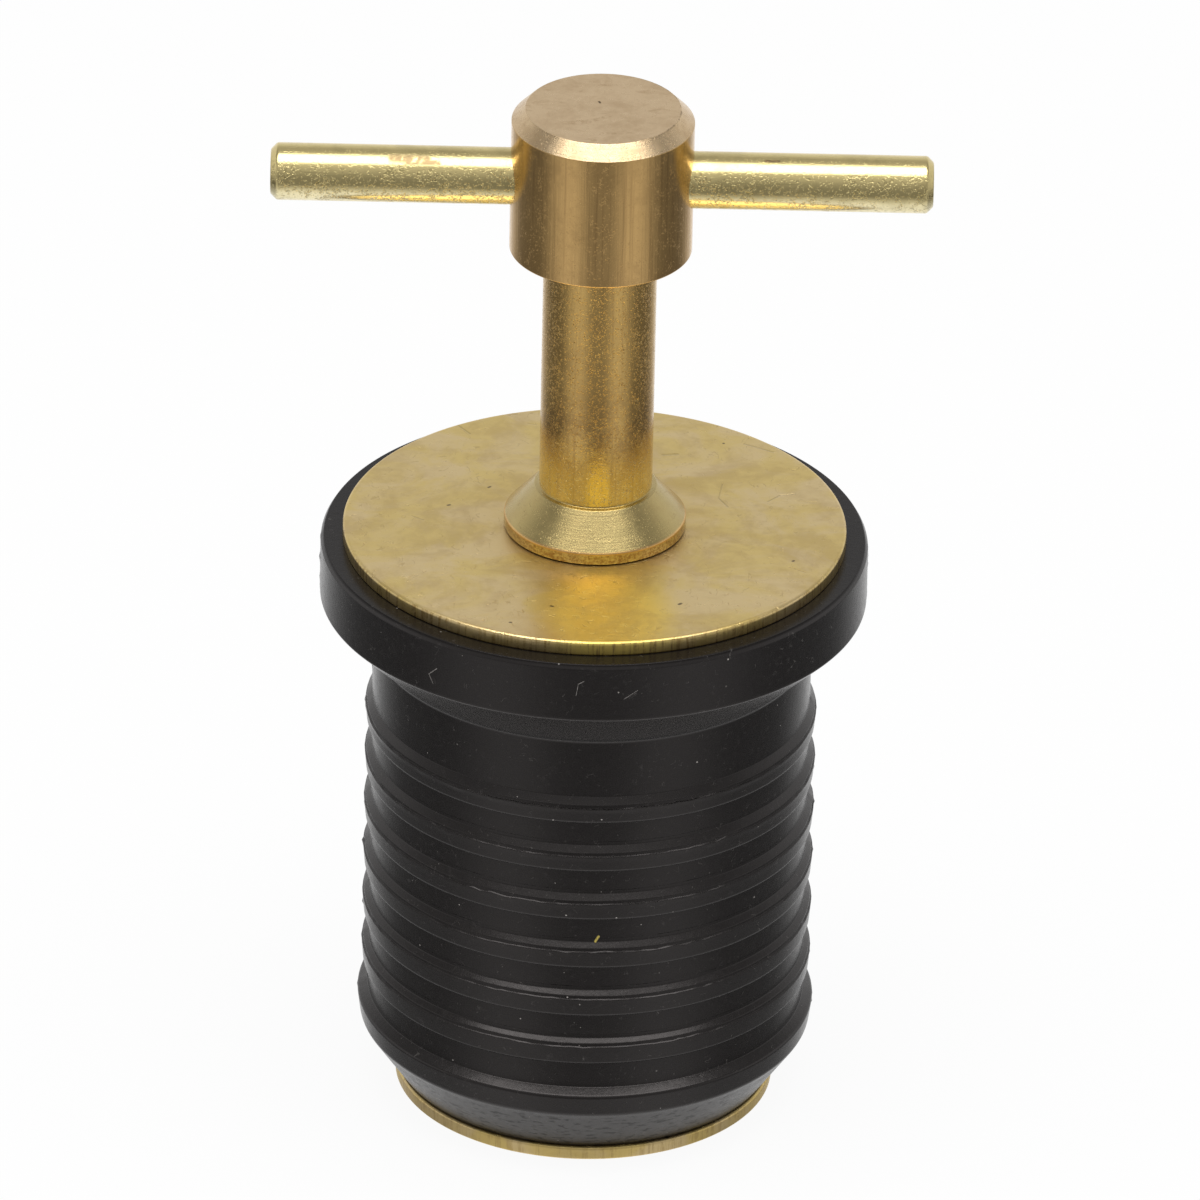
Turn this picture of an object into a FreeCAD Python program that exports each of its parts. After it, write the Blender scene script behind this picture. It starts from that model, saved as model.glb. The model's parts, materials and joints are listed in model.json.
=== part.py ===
import FreeCAD, Part
import math
import os
import Sketcher

# Twist-handle drain plug for a boat's drain tube, in millimetres.
# A brass screw with a T-handle goes down through a brass plate and a ribbed rubber sleeve into a nut
# that is staked into a smaller plate. Turning the handle squeezes the sleeve between the two plates.
# Z is the screw's axis, z = 0 is the underside of the lower plate, and the cross bar lies along X.

# Driving sizes: name, value, what it is
SIZES = [
    # Two stamped plates
    ("top_plate_diameter", 27.7, "plate over the flange"),
    ("top_plate_gauge", 0.8, "its sheet thickness"),
    ("bottom_plate_diameter", 21.0, "plate under the sleeve"),
    ("bottom_plate_gauge", 0.8, "its sheet thickness"),
    ("plate_play", 0.2, "radial play of the screw in the top plate"),
    # Rubber sleeve
    ("sleeve_length", 32.65, "from plate to plate, relaxed"),
    ("flange_diameter", 30.1, "flange that stops on the tube's mouth"),
    ("flange_thickness", 3.4, "height of its rim"),
    ("flange_edge", 0.55, "its rounded top edge, cut as one flat"),
    ("flange_cone_height", 2.9, "cone from the rim in to the neck"),
    ("rib_diameter", 24.9, "sealing ribs, for a 25.4 mm tube"),
    ("rib_height", 0.375, "how far the ribs stand out from the neck and the grooves' floors"),
    ("rib_count", 6, "sealing ribs above the lip"),
    ("rib_shoulder", 0.35, "height of a rib's sloped upper side"),
    ("rib_land", 1.07, "height of a rib's straight crest"),
    ("first_rib_depth", 9.84, "from the sleeve's top to the first rib"),
    ("lip_stand", 0.2, "how far the lip below the ribs stands out past them"),
    ("lip_height", 4.69, "from the sleeve's underside to the top of the lip"),
    ("taper_height", 3.15, "lead-in taper under the lip"),
    ("taper_end_diameter", 20.6, "small end of the taper"),
    ("bore_play", 0.3, "radial play of the screw in the sleeve"),
    # Handle, turned in one piece from round bar
    ("bar_stock_diameter", 10.0, "head and foot, left at the stock's size"),
    ("head_length", 8.43, "drilled head"),
    ("head_chamfer", 0.75, "chamfer round the head's top"),
    ("stem_diameter", 6.22, "stem between head and foot"),
    ("stem_length", 14.43, "its length"),
    ("foot_rim", 0.73, "rim of the foot"),
    ("foot_cone_height", 1.82, "cone above the rim"),
    ("foot_neck_diameter", 6.84, "small end of the cone"),
    ("foot_neck_height", 0.14, "short slope from the cone to the stem"),
    ("thread_diameter", 6.0, "outside of the screw's thread"),
    ("thread_recess", 0.5, "screw's end above the plug's underside"),
    ("thread_end_chamfer", 0.6, "chamfer on the screw's end"),
    # Cross bar, pressed through the head
    ("cross_bar_diameter", 3.15, "grip of the handle"),
    ("cross_bar_length", 36.15, "end to end"),
    ("cross_bar_chamfer", 0.4, "chamfer on both ends"),
    # Nut, staked into the lower plate
    ("nut_flats", 10.0, "across flats"),
    ("nut_height", 5.0, "the hexagon's height"),
    ("collar_diameter", 8.0, "collar that is staked in the plate"),
    ("pocket_play", 0.1, "play of the nut in the sleeve's pocket"),
    # Fits
    ("thread_play", 0.04, "radial running play of the thread"),
    ("press_play", 0.01, "radial line of fit round a pressed or staked piece"),
]

# Sizes worked out from the driving ones
DERIVED = [
    ("shank_length", "=top_plate_gauge + sleeve_length + bottom_plate_gauge - thread_recess"),
    ("foot_cone_top", "=foot_rim + foot_cone_height"),
    ("foot_height", "=foot_cone_top + foot_neck_height"),
    ("head_bottom", "=foot_height + stem_length"),
    ("head_top", "=head_bottom + head_length"),
    ("cross_bar_height", "=head_bottom + head_length / 2"),
    ("neck_diameter", "=rib_diameter - 2 * rib_height"),
    ("lip_diameter", "=rib_diameter + 2 * lip_stand"),
    ("first_rib_top", "=sleeve_length - first_rib_depth"),
    ("rib_pitch", "=(first_rib_top - lip_height) / rib_count"),
    ("first_groove_top", "=first_rib_top - rib_shoulder - rib_land"),
    ("groove_floor_width", "=rib_pitch - rib_shoulder - rib_land"),
    ("rib_slope", "=rib_shoulder / rib_height"),
    ("lip_shoulder", "=rib_slope * (rib_height + lip_stand)"),
    ("nut_corner_radius", "=nut_flats / sqrt(3)"),
    ("top_plate_level", "=bottom_plate_gauge + sleeve_length"),
    ("handle_level", "=top_plate_level + top_plate_gauge"),
]

SHEET = "Sizes"
SAME_PLACE = 1e-6

doc = FreeCAD.newDocument("DrainPlug")


def write_sheet():
    """Put every size in the sheet, one row each, under its own alias."""
    new_sheet = doc.addObject("Spreadsheet::Sheet", SHEET)
    rows = [(name, str(value), note) for name, value, note in SIZES]
    rows += [(name, formula, "worked out") for name, formula in DERIVED]
    for row, (name, content, note) in enumerate(rows, start=1):
        new_sheet.set(f"A{row}", name)
        new_sheet.setAlias(f"B{row}", name)
        new_sheet.set(f"C{row}", note)
    for row, (name, content, note) in enumerate(rows, start=1):
        new_sheet.set(f"B{row}", content)
    doc.recompute()
    return new_sheet


sheet = write_sheet()


def number(expression):
    """What an expression in sheet names comes to."""
    return float(sheet.evalExpression(expression))


def radius(alias):
    """Expression for half of a diameter of the sheet."""
    return f"{SHEET}.{alias} / 2"


def level(alias):
    """Expression for a height of the sheet."""
    return f"{SHEET}.{alias}"


def new_body(label, height=None):
    """Empty body with its own label, lifted to a height of the sheet."""
    body = doc.addObject("PartDesign::Body", label)
    body.Label = label
    if height:
        body.setExpression("Placement.Base.z", level(height))
    return body


def new_sketch(body, name, plane):
    """Sketch on one of the body's own origin planes."""
    sketch = body.newObject("Sketcher::SketchObject", name)
    support = next(item for item in body.Origin.OriginFeatures if item.Role == plane)
    sketch.AttachmentSupport = (support, [""])
    sketch.MapMode = "FlatFace"
    return sketch


def bind(sketch, constraint, name, expression):
    """Add a dimension to a sketch and tie it to the sheet."""
    index = sketch.addConstraint(constraint)
    sketch.renameConstraint(index, name)
    sketch.setExpression(f"Constraints.{name}", expression)


def from_origin(kind, *rest):
    """Constraint that starts at a sketch's origin, which is point 1 of its geometry -1."""
    return Sketcher.Constraint(kind, -1, 1, *rest)


def on_upright_axis(index, point):
    """Constraint that keeps a point on a sketch's upright axis, which is its geometry -2."""
    return Sketcher.Constraint("PointOnObject", index, point, -2)


def profile(body, name, corners):
    """Closed half section on XZ through corners, each a pair of expressions: radius and height.

    A corner that shares its radius or height with the corner before it is tied by a vertical or
    horizontal line, and every other place is a dimension from the origin.
    """
    sketch = new_sketch(body, name, "XZ_Plane")
    places = [FreeCAD.Vector(number(out), number(up), 0) for out, up in corners]
    count = len(corners)
    for index in range(count):
        sketch.addGeometry(Part.LineSegment(places[index], places[(index + 1) % count]), False)
    for index in range(count):
        sketch.addConstraint(Sketcher.Constraint("Coincident", index, 2, (index + 1) % count, 1))
    for index, (out, up) in enumerate(corners):
        last_out, last_up = corners[index - 1] if index else (None, None)
        if out == last_out:
            sketch.addConstraint(Sketcher.Constraint("Vertical", index - 1))
        elif out == "0":
            sketch.addConstraint(on_upright_axis(index, 1))
        else:
            across = from_origin("DistanceX", index, 1, places[index].x)
            bind(sketch, across, f"out{index}", out)
        if up == last_up:
            sketch.addConstraint(Sketcher.Constraint("Horizontal", index - 1))
        else:
            along = from_origin("DistanceY", index, 1, places[index].y)
            bind(sketch, along, f"up{index}", up)
    return sketch


def circles(body, name, plane, radii, height=None):
    """Sketch of circles about one centre, which lies on the origin or straight above it."""
    sketch = new_sketch(body, name, plane)
    centre = FreeCAD.Vector(0, number(height) if height else 0, 0)
    for index, expression in enumerate(radii):
        circle = Part.Circle(centre, FreeCAD.Vector(0, 0, 1), number(expression))
        sketch.addGeometry(circle, False)
        size = Sketcher.Constraint("Radius", index, number(expression))
        bind(sketch, size, f"radius{index}", expression)
        if index:
            sketch.addConstraint(Sketcher.Constraint("Coincident", index, 3, 0, 3))
    if height:
        sketch.addConstraint(on_upright_axis(0, 3))
        bind(sketch, from_origin("DistanceY", 0, 3, centre.y), "height", height)
    else:
        sketch.addConstraint(from_origin("Coincident", 0, 3))
    return sketch


def hexagon(body, name, corner_radius):
    """Sketch of a hexagon on XY about the origin, with two sides along X."""
    sketch = new_sketch(body, name, "XY_Plane")
    sides = 6
    reach = number(corner_radius)
    turns = [2 * math.pi * side / sides for side in range(sides)]
    corners = [FreeCAD.Vector(reach * math.cos(turn), reach * math.sin(turn), 0) for turn in turns]
    for side in range(sides):
        sketch.addGeometry(Part.LineSegment(corners[side], corners[(side + 1) % sides]), False)
    sketch.addGeometry(Part.Circle(FreeCAD.Vector(), FreeCAD.Vector(0, 0, 1), reach), True)
    for side in range(sides):
        sketch.addConstraint(Sketcher.Constraint("Coincident", side, 2, (side + 1) % sides, 1))
        sketch.addConstraint(Sketcher.Constraint("PointOnObject", side, 1, sides))
    for side in range(1, sides):
        sketch.addConstraint(Sketcher.Constraint("Equal", 0, side))
    sketch.addConstraint(from_origin("Coincident", sides, 3))
    sketch.addConstraint(Sketcher.Constraint("Horizontal", 1))
    bind(sketch, Sketcher.Constraint("Radius", sides, reach), "corner_radius", corner_radius)
    return sketch


def revolve(body, name, sketch, kind="PartDesign::Revolution"):
    """Full turn of a half section about the body's axis."""
    feature = body.newObject(kind, name)
    feature.Profile = sketch
    feature.ReferenceAxis = (sketch, ["V_Axis"])
    feature.Angle = 360
    doc.recompute()
    return feature


def pad(body, name, sketch, length, both_ways=False, downward=False):
    """Raise a sketch by a length of the sheet."""
    feature = body.newObject("PartDesign::Pad", name)
    feature.Profile = sketch
    feature.SideType = "Symmetric" if both_ways else "One side"
    feature.Reversed = downward
    feature.setExpression("Length", length)
    doc.recompute()
    return feature


def drill_through(body, name, sketch):
    """Cut a sketch right through the body, both ways from its plane."""
    feature = body.newObject("PartDesign::Pocket", name)
    feature.Profile = sketch
    feature.SideType = "Symmetric"
    feature.Type = "ThroughAll"
    doc.recompute()
    return feature


def circle_edges(feature, reach, *centres):
    """Names of a feature's edges that are circles of this radius about one of these centres."""
    names = []
    for index, edge in enumerate(feature.Shape.Edges, start=1):
        curve = edge.Curve
        if not isinstance(curve, Part.Circle) or abs(curve.Radius - reach) > SAME_PLACE:
            continue
        if any((curve.Center - centre).Length < SAME_PLACE for centre in centres):
            names.append(f"Edge{index}")
    if len(names) < len(centres):
        raise RuntimeError(f"{feature.Label} lacks a circle of radius {reach}")
    return names


def must_be_less(cut, base):
    """A cut that points the wrong way takes nothing away, so the volumes are compared."""
    if cut.Shape.Volume > base.Shape.Volume - SAME_PLACE:
        raise RuntimeError(f"{cut.Label} takes nothing from {base.Label}")


def build_plate(label, diameter, gauge, hole, height=None):
    """Stamped round plate with a punched hole."""
    body = new_body(label, height)
    outline = circles(body, f"{label}_outline", "XY_Plane", [radius(diameter), hole])
    pad(body, f"{label}_blank", outline, level(gauge))
    return body


def build_sleeve():
    """Moulded sleeve: flange, cone, neck, sealing ribs, lip and taper, with a bore and nut pocket."""
    body = new_body("rubber_sleeve", "bottom_plate_gauge")
    bore = f"{radius('thread_diameter')} + {SHEET}.bore_play"
    top = level("sleeve_length")
    rim_foot = f"{top} - {SHEET}.flange_thickness"
    cone_foot = f"{rim_foot} - {SHEET}.flange_cone_height"
    flange = radius("flange_diameter")
    flange_edge = level("flange_edge")
    section = profile(body, "sleeve_section", [
        (bore, "0"),
        (radius("taper_end_diameter"), "0"),
        (radius("lip_diameter"), level("taper_height")),
        (radius("lip_diameter"), level("lip_height")),
        (radius("rib_diameter"), level("lip_height")),
        (radius("rib_diameter"), f"{SHEET}.first_rib_top - {SHEET}.rib_shoulder"),
        (radius("neck_diameter"), level("first_rib_top")),
        (radius("neck_diameter"), cone_foot),
        (flange, rim_foot),
        (flange, f"{top} - {flange_edge}"),
        (f"{flange} - {flange_edge}", top),
        (bore, top),
    ])
    moulding = revolve(body, "sleeve_moulding", section)

    # Below each rib a groove with a flat upper side and a sloped lower one, the next rib's shoulder
    groove_foot = f"{SHEET}.first_groove_top - {SHEET}.groove_floor_width"
    cutter = profile(body, "groove_section", [
        (radius("neck_diameter"), level("first_groove_top")),
        (radius("neck_diameter"), groove_foot),
        (radius("lip_diameter"), f"{groove_foot} - {SHEET}.lip_shoulder"),
        (radius("lip_diameter"), level("first_groove_top")),
    ])
    groove = revolve(body, "groove", cutter, "PartDesign::Groove")
    must_be_less(groove, moulding)
    grooves = body.newObject("PartDesign::LinearPattern", "grooves")
    grooves.Originals = [groove]
    grooves.Direction = (cutter, ["V_Axis"])
    grooves.Reversed = True
    grooves.Mode = "Spacing"
    grooves.setExpression("Offset", f"{SHEET}.rib_pitch")
    grooves.setExpression("Occurrences", f"{SHEET}.rib_count")
    body.Tip = grooves
    doc.recompute()
    must_be_less(grooves, groove)

    # Hexagonal pocket in the underside, which holds the nut and keeps it from turning
    pocket_radius = f"{SHEET}.nut_corner_radius + {SHEET}.pocket_play / cos(30)"
    pocket = body.newObject("PartDesign::Pocket", "nut_pocket")
    pocket.Profile = hexagon(body, "nut_pocket_outline", pocket_radius)
    pocket.Reversed = True
    pocket.setExpression("Length", f"{SHEET}.nut_height + {SHEET}.pocket_play")
    doc.recompute()
    must_be_less(pocket, grooves)
    return body


def build_handle():
    """Turned handle from the screw's end up to the drilled head. Its z = 0 is the foot's underside."""
    body = new_body("handle_screw", "handle_level")
    stock = radius("bar_stock_diameter")
    thread = radius("thread_diameter")
    stem = radius("stem_diameter")
    head_chamfer = level("head_chamfer")
    section = profile(body, "handle_section", [
        ("0", f"-{SHEET}.shank_length"),
        (f"{thread} - {SHEET}.thread_end_chamfer", f"-{SHEET}.shank_length"),
        (thread, f"{SHEET}.thread_end_chamfer - {SHEET}.shank_length"),
        (thread, "0"),
        (stock, "0"),
        (stock, level("foot_rim")),
        (radius("foot_neck_diameter"), level("foot_cone_top")),
        (stem, level("foot_height")),
        (stem, level("head_bottom")),
        (stock, level("head_bottom")),
        (stock, f"{SHEET}.head_top - {head_chamfer}"),
        (f"{stock} - {head_chamfer}", level("head_top")),
        ("0", level("head_top")),
    ])
    turning = revolve(body, "handle_turning", section)

    fit = f"{radius('cross_bar_diameter')} + {SHEET}.press_play"
    cross = circles(body, "cross_hole_outline", "YZ_Plane", [fit], level("cross_bar_height"))
    cross_hole = drill_through(body, "cross_hole", cross)
    must_be_less(cross_hole, turning)
    return body


def build_cross_bar():
    """Round bar through the head, chamfered at both ends. Its middle lies on the screw's axis."""
    body = new_body("cross_bar")
    lift = f"{SHEET}.handle_level + {SHEET}.cross_bar_height"
    body.setExpression("Placement.Base.z", lift)
    outline = circles(body, "bar_outline", "YZ_Plane", [radius("cross_bar_diameter")])
    bar = pad(body, "bar", outline, level("cross_bar_length"), both_ways=True)
    half = number(level("cross_bar_length")) / 2
    ends = circle_edges(bar, number(radius("cross_bar_diameter")),
                        FreeCAD.Vector(half, 0, 0), FreeCAD.Vector(-half, 0, 0))
    chamfer = body.newObject("PartDesign::Chamfer", "bar_ends")
    chamfer.Base = (bar, ends)
    chamfer.setExpression("Size", level("cross_bar_chamfer"))
    return body


def build_nut():
    """Hexagonal nut whose collar is staked in the lower plate. Its z = 0 is the plate's top."""
    body = new_body("clamp_nut", "bottom_plate_gauge")
    outline = hexagon(body, "nut_outline", f"{SHEET}.nut_corner_radius")
    pad(body, "nut_hexagon", outline, level("nut_height"))
    ring = circles(body, "collar_outline", "XY_Plane", [radius("collar_diameter")])
    collar = pad(body, "collar", ring, level("bottom_plate_gauge"), downward=True)
    fit = f"{radius('thread_diameter')} + {SHEET}.thread_play"
    bore = circles(body, "bore_outline", "XY_Plane", [fit])
    threaded_bore = drill_through(body, "threaded_bore", bore)
    must_be_less(threaded_bore, collar)
    return body


def build_plug():
    """Every piece of the plug."""
    staked_hole = f"{radius('collar_diameter')} + {SHEET}.press_play"
    screw_hole = f"{radius('thread_diameter')} + {SHEET}.plate_play"
    return [
        build_plate("bottom_plate", "bottom_plate_diameter", "bottom_plate_gauge", staked_hole),
        build_nut(),
        build_sleeve(),
        build_plate("top_plate", "top_plate_diameter", "top_plate_gauge", screw_hole,
                    "top_plate_level"),
        build_handle(),
        build_cross_bar(),
    ]


def check_and_write(pieces):
    """Refuse any failed object or bad solid, then write one file for each piece."""
    doc.recompute()
    for item in doc.Objects:
        if "Invalid" in item.State or "Error" in item.State:
            raise RuntimeError(f"{item.Label} did not build: {item.State}")
    for piece in pieces:
        shape = piece.Shape
        if shape.isNull() or not shape.isValid() or len(shape.Solids) != 1:
            raise RuntimeError(f"{piece.Label} is not one valid solid")
    os.makedirs("parts", exist_ok=True)
    for piece in pieces:
        piece.Shape.exportStep(f"parts/{piece.Label}.step")
        box = piece.Shape.BoundBox
        print(f"{piece.Label}: {piece.Shape.Volume:.1f} mm3, "
              f"radius {max(box.XMax, box.YMax):.2f}, z {box.ZMin:.2f} to {box.ZMax:.2f}")


check_and_write(build_plug())
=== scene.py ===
"""Twist-handle drain plug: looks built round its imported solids, laid out as an add-on and run as a script."""
import json
import math
from collections import namedtuple

import bmesh
import bpy
from bpy.props import FloatProperty, FloatVectorProperty, IntProperty, PointerProperty
from mathutils import Matrix, Vector


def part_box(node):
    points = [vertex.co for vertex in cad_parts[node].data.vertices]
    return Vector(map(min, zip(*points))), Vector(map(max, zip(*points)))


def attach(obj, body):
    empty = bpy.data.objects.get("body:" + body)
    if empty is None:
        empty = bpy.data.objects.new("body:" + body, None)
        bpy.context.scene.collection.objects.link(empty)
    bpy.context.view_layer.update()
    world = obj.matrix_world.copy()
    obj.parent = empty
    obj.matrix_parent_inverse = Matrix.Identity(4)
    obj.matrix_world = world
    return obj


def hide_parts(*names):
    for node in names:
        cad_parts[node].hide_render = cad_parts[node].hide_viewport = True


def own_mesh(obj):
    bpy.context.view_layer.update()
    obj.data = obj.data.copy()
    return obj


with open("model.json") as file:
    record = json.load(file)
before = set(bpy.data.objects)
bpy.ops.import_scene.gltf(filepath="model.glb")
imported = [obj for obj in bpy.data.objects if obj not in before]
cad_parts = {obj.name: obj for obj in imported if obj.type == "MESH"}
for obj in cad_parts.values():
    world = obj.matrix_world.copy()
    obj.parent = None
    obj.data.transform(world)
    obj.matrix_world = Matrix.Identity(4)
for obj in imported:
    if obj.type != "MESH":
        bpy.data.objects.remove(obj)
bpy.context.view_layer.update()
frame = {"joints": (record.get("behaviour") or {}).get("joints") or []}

bl_info = {
    "name": "Drain Plug Maker",
    "version": (1, 0, 0),
    "blender": (4, 5, 0),
    "location": "View3D > Sidebar > Drain Plug",
    "description": "Makes a brass and rubber drain plug with a T-handle, and the studio that it stands in",
    "category": "Object",
}

MM = 0.001

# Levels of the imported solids, in metres
PLATE_LOW, PLATE_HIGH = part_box("top_plate")
BASE_LOW, BASE_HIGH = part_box("bottom_plate")
SLEEVE_LOW, SLEEVE_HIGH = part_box("rubber_sleeve")
SCREW_LOW, SCREW_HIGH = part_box("handle_screw")
BAR_LOW, BAR_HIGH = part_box("cross_bar")
NUT_LOW, NUT_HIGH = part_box("clamp_nut")
BAR_LEVEL = (BAR_LOW.z + BAR_HIGH.z) / 2

# Clearances that the moving pieces keep
THREAD_FLANK_PLAY = 0.07 * MM
POCKET_ROOM = 0.6 * MM
CLAMP_TRAVEL = next(j for j in frame["joints"] if j["name"] == "clamp_draw")["range_m"][1]


def length(name, description, default):
    """A size in metres that a user may change."""
    return FloatProperty(name=name, description=description, default=default, min=0.0, precision=5,
                         subtype="DISTANCE", unit="LENGTH")


def colour(name, description, default):
    """A surface colour that a user may change, in linear light."""
    return FloatVectorProperty(name=name, description=description, default=default, size=3, min=0.0,
                               max=1.0, subtype="COLOR")


def count(name, description, default, least, most):
    """A whole number that a user may change."""
    return IntProperty(name=name, description=description, default=default, min=least, max=most)


def setting(name, description, default, **limits):
    """Any other number that a user may change."""
    return FloatProperty(name=name, description=description, default=default, **limits)


class SleeveSizes(bpy.types.PropertyGroup):
    """Sizes of the moulded rubber sleeve."""

    flange_radius: length("Flange Radius", "Outside of the flange that stops on the tube", SLEEVE_HIGH.x)
    flange_chamfer: length("Flange Chamfer", "Height of the chamfer on the flange's upper edge", 0.26 * MM)
    flange_thickness: length("Flange Thickness", "Height of the flange's rim", 3.4 * MM)
    cone_height: length("Cone Height", "Height of the cone between flange and neck", 2.9 * MM)
    neck_radius: length("Neck Radius", "Neck and the floors of the grooves", 12.075 * MM)
    rib_radius: length("Rib Radius", "Crest of the sealing ribs", 12.45 * MM)
    lip_radius: length("Lip Radius", "Lip below the ribs", 12.65 * MM)
    end_radius: length("End Radius", "Small end of the lead-in taper", 10.3 * MM)
    first_rib: length("First Rib", "Height of the first rib's top", 23.61 * MM)
    rib_pitch: length("Rib Pitch", "From one rib to the next", 3.02 * MM)
    rib_count: count("Rib Count", "Sealing ribs above the lip", 6, 1, 7)
    bore_radius: length("Bore Radius", "Bore for the screw", 3.3 * MM)
    segments: count("Segments", "Steps round the sleeve", 216, 24, 240)


class HandleSizes(bpy.types.PropertyGroup):
    """Sizes of the turned handle and of the thread that it shares with the nut."""

    stock_radius: length("Stock Radius", "Head and foot, left at the bar stock's size", 5.0 * MM)
    stem_radius: length("Stem Radius", "Stem between head and foot", 3.11 * MM)
    head_height: length("Head Height", "Length of the drilled head", 8.43 * MM)
    head_chamfer: length("Head Chamfer", "Chamfer round the head's top", 0.75 * MM)
    foot_rim: length("Foot Rim", "Height of the foot's straight rim", 0.73 * MM)
    foot_cone: length("Foot Cone", "Height of the cone above the rim", 1.82 * MM)
    shank_radius: length("Shank Radius", "Outside of the thread", 3.0 * MM)
    thread_top: length("Thread Top", "Level at which the thread runs out", 15.0 * MM)
    thread_pitch: length("Thread Pitch", "Rise of the thread in one turn", 1.0 * MM)
    thread_depth: length("Thread Depth", "From the thread's crest to its root", 0.58 * MM)
    segments: count("Segments", "Steps round a turned piece", 168, 24, 192)


class BarSizes(bpy.types.PropertyGroup):
    """Sizes of the cross bar."""

    radius: length("Radius", "Half of the bar's thickness", BAR_HIGH.y)
    half_length: length("Half Length", "From the screw's axis to the bar's end", BAR_HIGH.x)
    chamfer: length("Chamfer", "Rounded chamfer on both ends", 0.36 * MM)


class PlateSizes(bpy.types.PropertyGroup):
    """Sizes of the two stamped plates and the nut."""

    top_radius: length("Top Radius", "Plate over the flange", PLATE_HIGH.x)
    top_hole: length("Top Hole", "Radius of its hole for the screw", 3.2 * MM)
    bottom_radius: length("Bottom Radius", "Plate under the sleeve", BASE_HIGH.x)
    bottom_hole: length("Bottom Hole", "Radius of its hole for the nut's collar", 4.01 * MM)
    nut_flats: length("Nut Flats", "Half of the nut's width across its flats", 5.0 * MM)
    collar_radius: length("Collar Radius", "Collar that is staked in the bottom plate", 4.0 * MM)


class PlugColours(bpy.types.PropertyGroup):
    """Colours of the bare metals and the rubber."""

    turned: colour("Turned Brass", "Head and stem", (0.80, 0.515, 0.205))
    turned_dark: colour("Tarnish", "Brown film on the turned brass", (0.40, 0.24, 0.095))
    stem: colour("Stem", "Stem, more golden", (0.80, 0.525, 0.18))
    # Painted reflection: bright yellow for the stem's lower end, standing in for the plate's light mirrored in
    # it
    stem_plate_reflection: colour("Stem's End", "Lower end of the stem, clean and yellow", (1.0, 0.79, 0.30))
    cap: colour("Cap Face", "Dull flat end of the head and its chamfer", (0.75, 0.56, 0.34))
    foot: colour("Foot", "Freshly turned cone of the foot", (0.56, 0.44, 0.19))
    # Dark colour for dirt on the head's end and for the painted contact shadow where the foot stands on the top
    # plate
    dirt: colour("Dirt", "Dirt in the corners of the turned brass", (0.06, 0.036, 0.018))
    bar: colour("Bar Brass", "Cross bar", (0.80, 0.66, 0.31))
    # Painted reflection: paler brass along the bar's underside, standing in for light from below
    bar_under_reflection: colour("Pale Brass", "Underside of the cross bar", (0.88, 0.79, 0.50))
    bar_pit: colour("Pits", "Dull bottoms of the cross bar's pits", (0.26, 0.215, 0.085))
    # Also paints the shade in the bar's dent
    bar_smear_and_dent_shade: colour("Smear", "Brown smears on the cross bar", (0.34, 0.23, 0.12))
    plate: colour("Plate Brass", "Both stamped plates", (0.80, 0.62, 0.33))
    plate_yellow: colour("Clean Brass", "Yellow patches where the plates are clean", (0.78, 0.585, 0.19))
    # Painted reflection of the stem and foot on the front of the top plate
    plate_stem_reflection: colour("Stem Reflection", "Bright patch at the front of the top plate", (0.98, 0.755, 0.20))
    plate_stain: colour("Stain", "Stains on the plates", (0.46, 0.31, 0.12))
    plate_dirt: colour("Plate Dirt", "Specks and dirty scratches on the plates", (0.09, 0.06, 0.035))
    rubber: colour("Rubber", "Moulded black rubber", (0.0072, 0.0062, 0.0060))
    rubber_gloss: colour("Rubber Gloss", "Tint of the rubber's highlights", (1.0, 0.93, 0.91))
    # Grey film, also used for the painted sheen on the cone under the flange
    bloom_and_sheen: colour("Bloom", "Grey film where the rubber is rubbed", (0.060, 0.055, 0.053))
    dust: colour("Dust", "Dust and lint on the rubber", (0.62, 0.58, 0.54))
    filing: colour("Filing", "Bits of brass that stick to the rubber", (0.72, 0.58, 0.14))


class StudioSettings(bpy.types.PropertyGroup):
    """Light and camera."""

    lamp_power: setting("Lamp Power", "Power of the overhead softbox in watts", 2.45, min=0.0)
    world_light: setting("World Light", "Strength of the room's light", 1.0, min=0.0)
    camera_distance: length("Camera Distance", "From the plate's top to the camera", 1.188)
    camera_rise: setting("Camera Rise", "Camera's angle above the horizon", math.radians(27.9),
                         subtype="ANGLE")
    camera_roll: setting("Camera Roll", "How far the object leans in the picture", math.radians(1.234),
                         subtype="ANGLE")
    focal_length: setting("Focal Length", "Lens on a 36 mm sensor, in millimetres", 648.4, min=1.0)


def node_step(operation, swapped=False):
    """Method of Number that adds a math node, with its two values swapped where asked."""
    def step(self, other):
        return self.wire.math(operation, *((other, self) if swapped else (self, other)))
    return step


class Number:
    """A node's output, which adds, multiplies and compares like a plain number."""

    def __init__(self, wire, socket):
        self.wire = wire
        self.socket = socket

    __add__, __radd__ = node_step("ADD"), node_step("ADD", swapped=True)
    __sub__, __rsub__ = node_step("SUBTRACT"), node_step("SUBTRACT", swapped=True)
    __mul__, __rmul__ = node_step("MULTIPLY"), node_step("MULTIPLY", swapped=True)
    __truediv__, __rtruediv__ = node_step("DIVIDE"), node_step("DIVIDE", swapped=True)
    __gt__, __lt__ = node_step("GREATER_THAN"), node_step("LESS_THAN")

    def __abs__(self):
        return self.wire.math("ABSOLUTE", self)


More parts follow.
